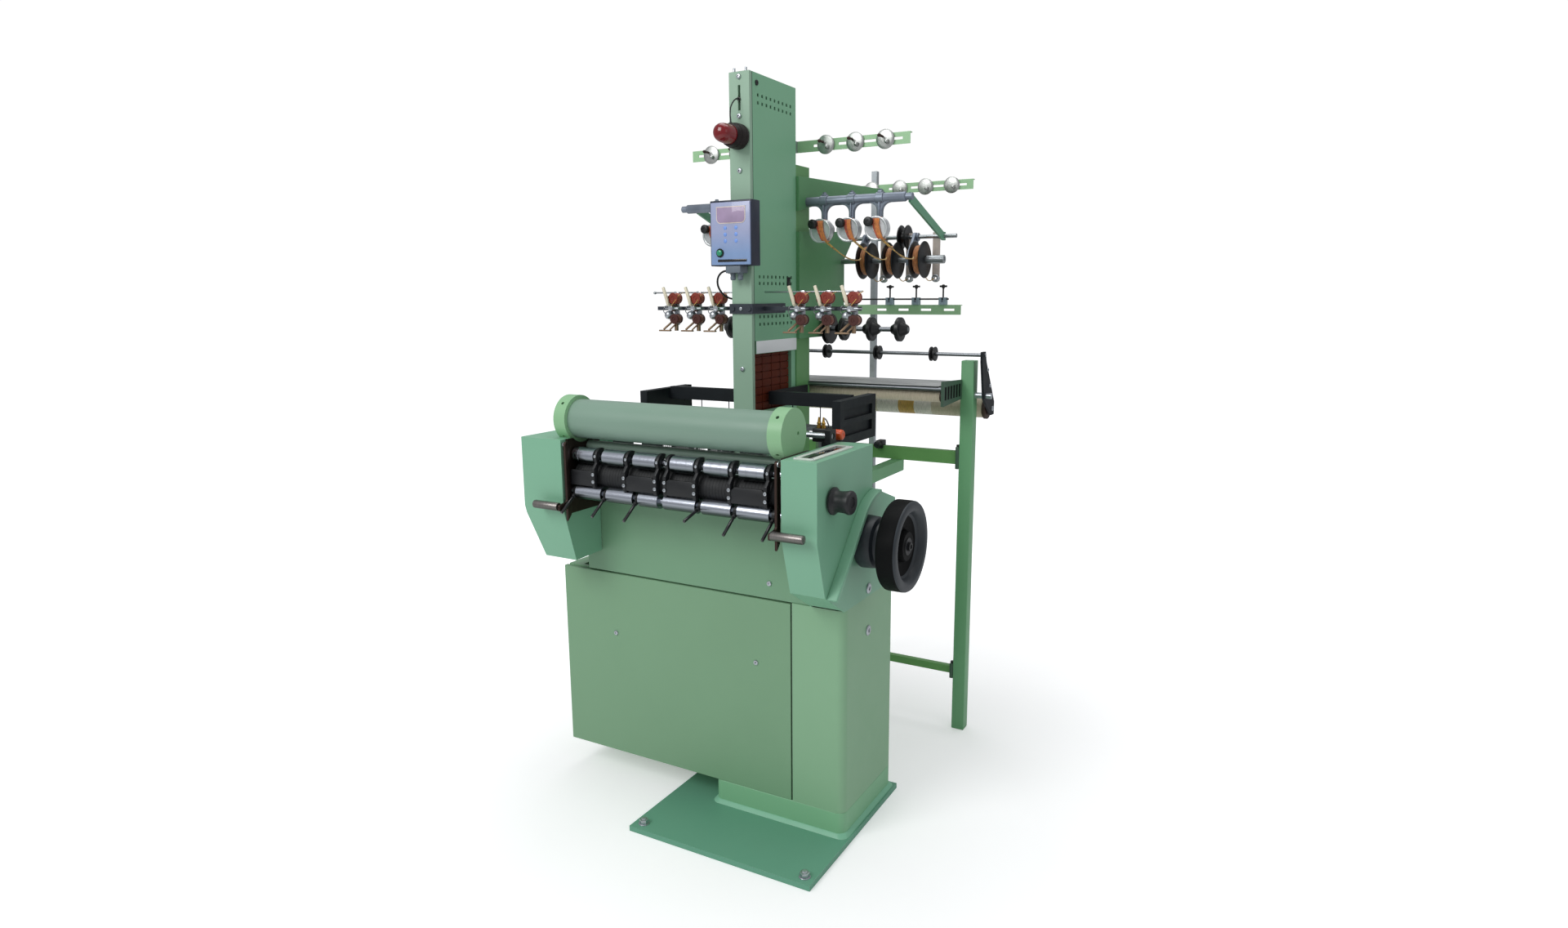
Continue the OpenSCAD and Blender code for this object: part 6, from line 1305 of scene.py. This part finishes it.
def make_stand():
    """Posts, rails and arms, dull rods between dark cheeks, a cream roller below and the grey warp above."""
    painted_copy("rear_stand", "warp_stand", [
        ("dull_rod", lambda low, high, size: size.x > 600 and size.z < 20),
        ("cross_paint", lambda low, high, size: size.x > 600),
        ("black_shed", lambda low, high, size: size.x < 9 and low.z > 1100),
        ("cheek_paint", lambda low, high, size: size.x < 11 and low.z > 1100),
        (None, lambda low, high, size: size.z > 1200),
        ("zinc", lambda low, high, size: size.z < 25),
        ("stand_paint", None)], 1.4, "stand_green")
    posts = [block(f"rear_post_{x}", (x - 22, x + 22), (768, 811), (0, 1300), 2.4, 3) for x in (-460, 328)]
    group_of("rear_posts", "stand_paint", posts, slot="stand_green")
    joints = [block(f"rail_joint_{x}_{z0}", (x, x + 12), (766, 790), (z0, z1), 2.2)
              for x in (-438, 294) for z0, z1 in ((934, 1010), (186, 240))]
    group_of("rail_joints", "cheek_paint", joints, slot="stand_green")
    heads = [rod(f"joint_bolt_{x}_{z}", (x, 778, z), (x, 778, z + 9), 7)
             for x in (-431, 301) for z in (1008, 238)]
    group_of("joint_bolts", "black_iron", heads, slot="black_paint")
    rods = [rod(f"dull_rod_{y}", (-433, y, 1219), (301, y, 1219), 5.4) for y in (606, 660, 714, 767)]
    group_of("warp_rods", "dull_rod", rods, slot="chrome")
    sheet = block("warp_sheet", (-425, 288), (602, 812), (1227.2, 1228.6), 0.5)
    dressed(sheet, "warp_grey", slot="roll_cream")
    roller = turned("cream_roller", "X", (640, 1192), "-300,0 -300,17 -298,18 282,18 284,17 284,0", 48)
    dressed(roller, "cream_warp", slot="roll_cream")
    ends = [turned(f"roller_end_{x}", "X", (640, 1192), spots(
        "0,0 0,17.4 1.4,19 10,19 11.4,17.4 11.4,7 17,6 17,0", x), 40) for x in (284, -312)]
    group_of("roller_ends", "flange_brown", ends, slot="spool_brown")
    # Black patches on the cheek where its slots are: painted shade of the slots.
    slot_shades = [block(f"cheek_slot_{i}", (309.4, 312), (600 + 27 * i, 614 + 27 * i), (1184, 1226), 1.0)
             for i in range(6)]
    group_of("painted_slot_shades", "wheel_black", slot_shades, slot="black_plastic")
    bolts = [socket_screw(f"link_bolt_{y}_{z}", (386, y, z), radius, 4, "X", 1)
             for y, z, radius in ((800, 1270, 6), (830, 1215, 6), (866, 1135, 9))]
    group_of("link_bolts", "zinc", bolts, slot="zinc")
    group_of("rail_clamp_set", "black_iron", [
        block("rail_clamp", (2, 26), (768, 806), (984, 1012), 2.0),
        turned("rail_knob", "Y", (14, 1000), "770,0 770,11 758,12 748,11 746,8 746,0", 28),
    ], slot="black_paint")


def make_warp_roll():
    core = turned("warp_core", "X", (866, 1135),
        "-532,0 -532,8 -508,8 -508,34 -506,36.6 -496,36.6 -494,34 -494,20 359,20 359,34 361,36.6 371,36.6 "
        "373,34 373,8 386,8 386,0", 56)
    dressed(core, "flange_brown", "warp_roll", slot="roll_cream", body="warp")
    wind = turned("warp_wind", "X", (866, 1135),
        "-494,20 -494,31 -490,33.1 -25,33.1 57,33.1 116,33.1 180,33.1 354,33.1 359,31 359,20", 72, 60)
    dressed(wind, "cream_warp", slot="roll_cream", body="warp")
    repaint(wind, "white_warp", lambda at, normal: -25 < at.x < 180)
    repaint(wind, "yellow_warp", lambda at, normal: 57 < at.x < 116)


# Floor and light


def make_backdrop():
    """A pale sky that lights the machine softly and looks white behind it."""
    world = bpy.data.worlds.new("studio_world")
    bpy.context.scene.world = world
    world.use_nodes = True
    sky = Wiring(world.node_tree)
    soft = sky.tree.nodes["Background"]
    for slot, value in enumerate(((0.95, 0.97, 1.0, 1.0), 0.42)):
        sky.join(value, soft.inputs[slot])
    white = sky.node("Background", (1.0, 1.0, 1.0, 1.0), 1.02)
    seen = sky.node("LightPath").outputs["Is Camera Ray"]
    mix = sky.node("MixShader", seen, soft.outputs[0], white.outputs[0])
    sky.join(mix.outputs[0], sky.tree.nodes["World Output"].inputs["Surface"])


def make_setting():
    bpy.ops.object.select_all(action="DESELECT")
    bpy.ops.mesh.primitive_plane_add(size=60, location=(0, 6, 0))
    floor = bpy.context.object
    floor.name = floor.data.name = "studio_floor"
    bpy.ops.object.transform_apply(location=True, rotation=True, scale=True)
    floor.data.materials.append(FINISHES["floor_white"])
    make_backdrop()
    for name, place, aim, size, power in (
            ("key_soft", (-1.6, -4.2, 4.2), (-0.2, 0.2, 1.0), 2.6, 128),
            ("side_soft", (4.2, -0.6, 3.0), (0.0, 0.3, 1.1), 2.4, 9),
            ("top_soft", (-0.2, 1.0, 5.0), (-0.2, 0.6, 1.0), 3.2, 66)):
        bpy.ops.object.light_add(type="AREA", location=place)
        lamp = bpy.context.object
        lamp.name = name
        lamp.data.energy = power
        lamp.data.size = size
        lamp.rotation_euler = (Vector(aim) - Vector(place)).to_track_quat("-Z", "Y").to_euler()
    bpy.context.scene.view_settings.view_transform = "Standard"


for make in (
        make_base, make_bolts, make_casings, make_sight_plate, make_oiler, make_side_plates,
        make_front_tube, make_take_off, make_handwheel, make_press_rollers, make_brackets,
        make_press_levers, make_release_levers, make_weaving, make_tower, make_control_box, make_beacon,
        make_strap, make_rails, make_tensioners, make_feeder_frame, make_drums, make_feed_wheels,
        make_stops, make_spools, make_guides, make_stand, make_warp_roll, make_setting):
    make()
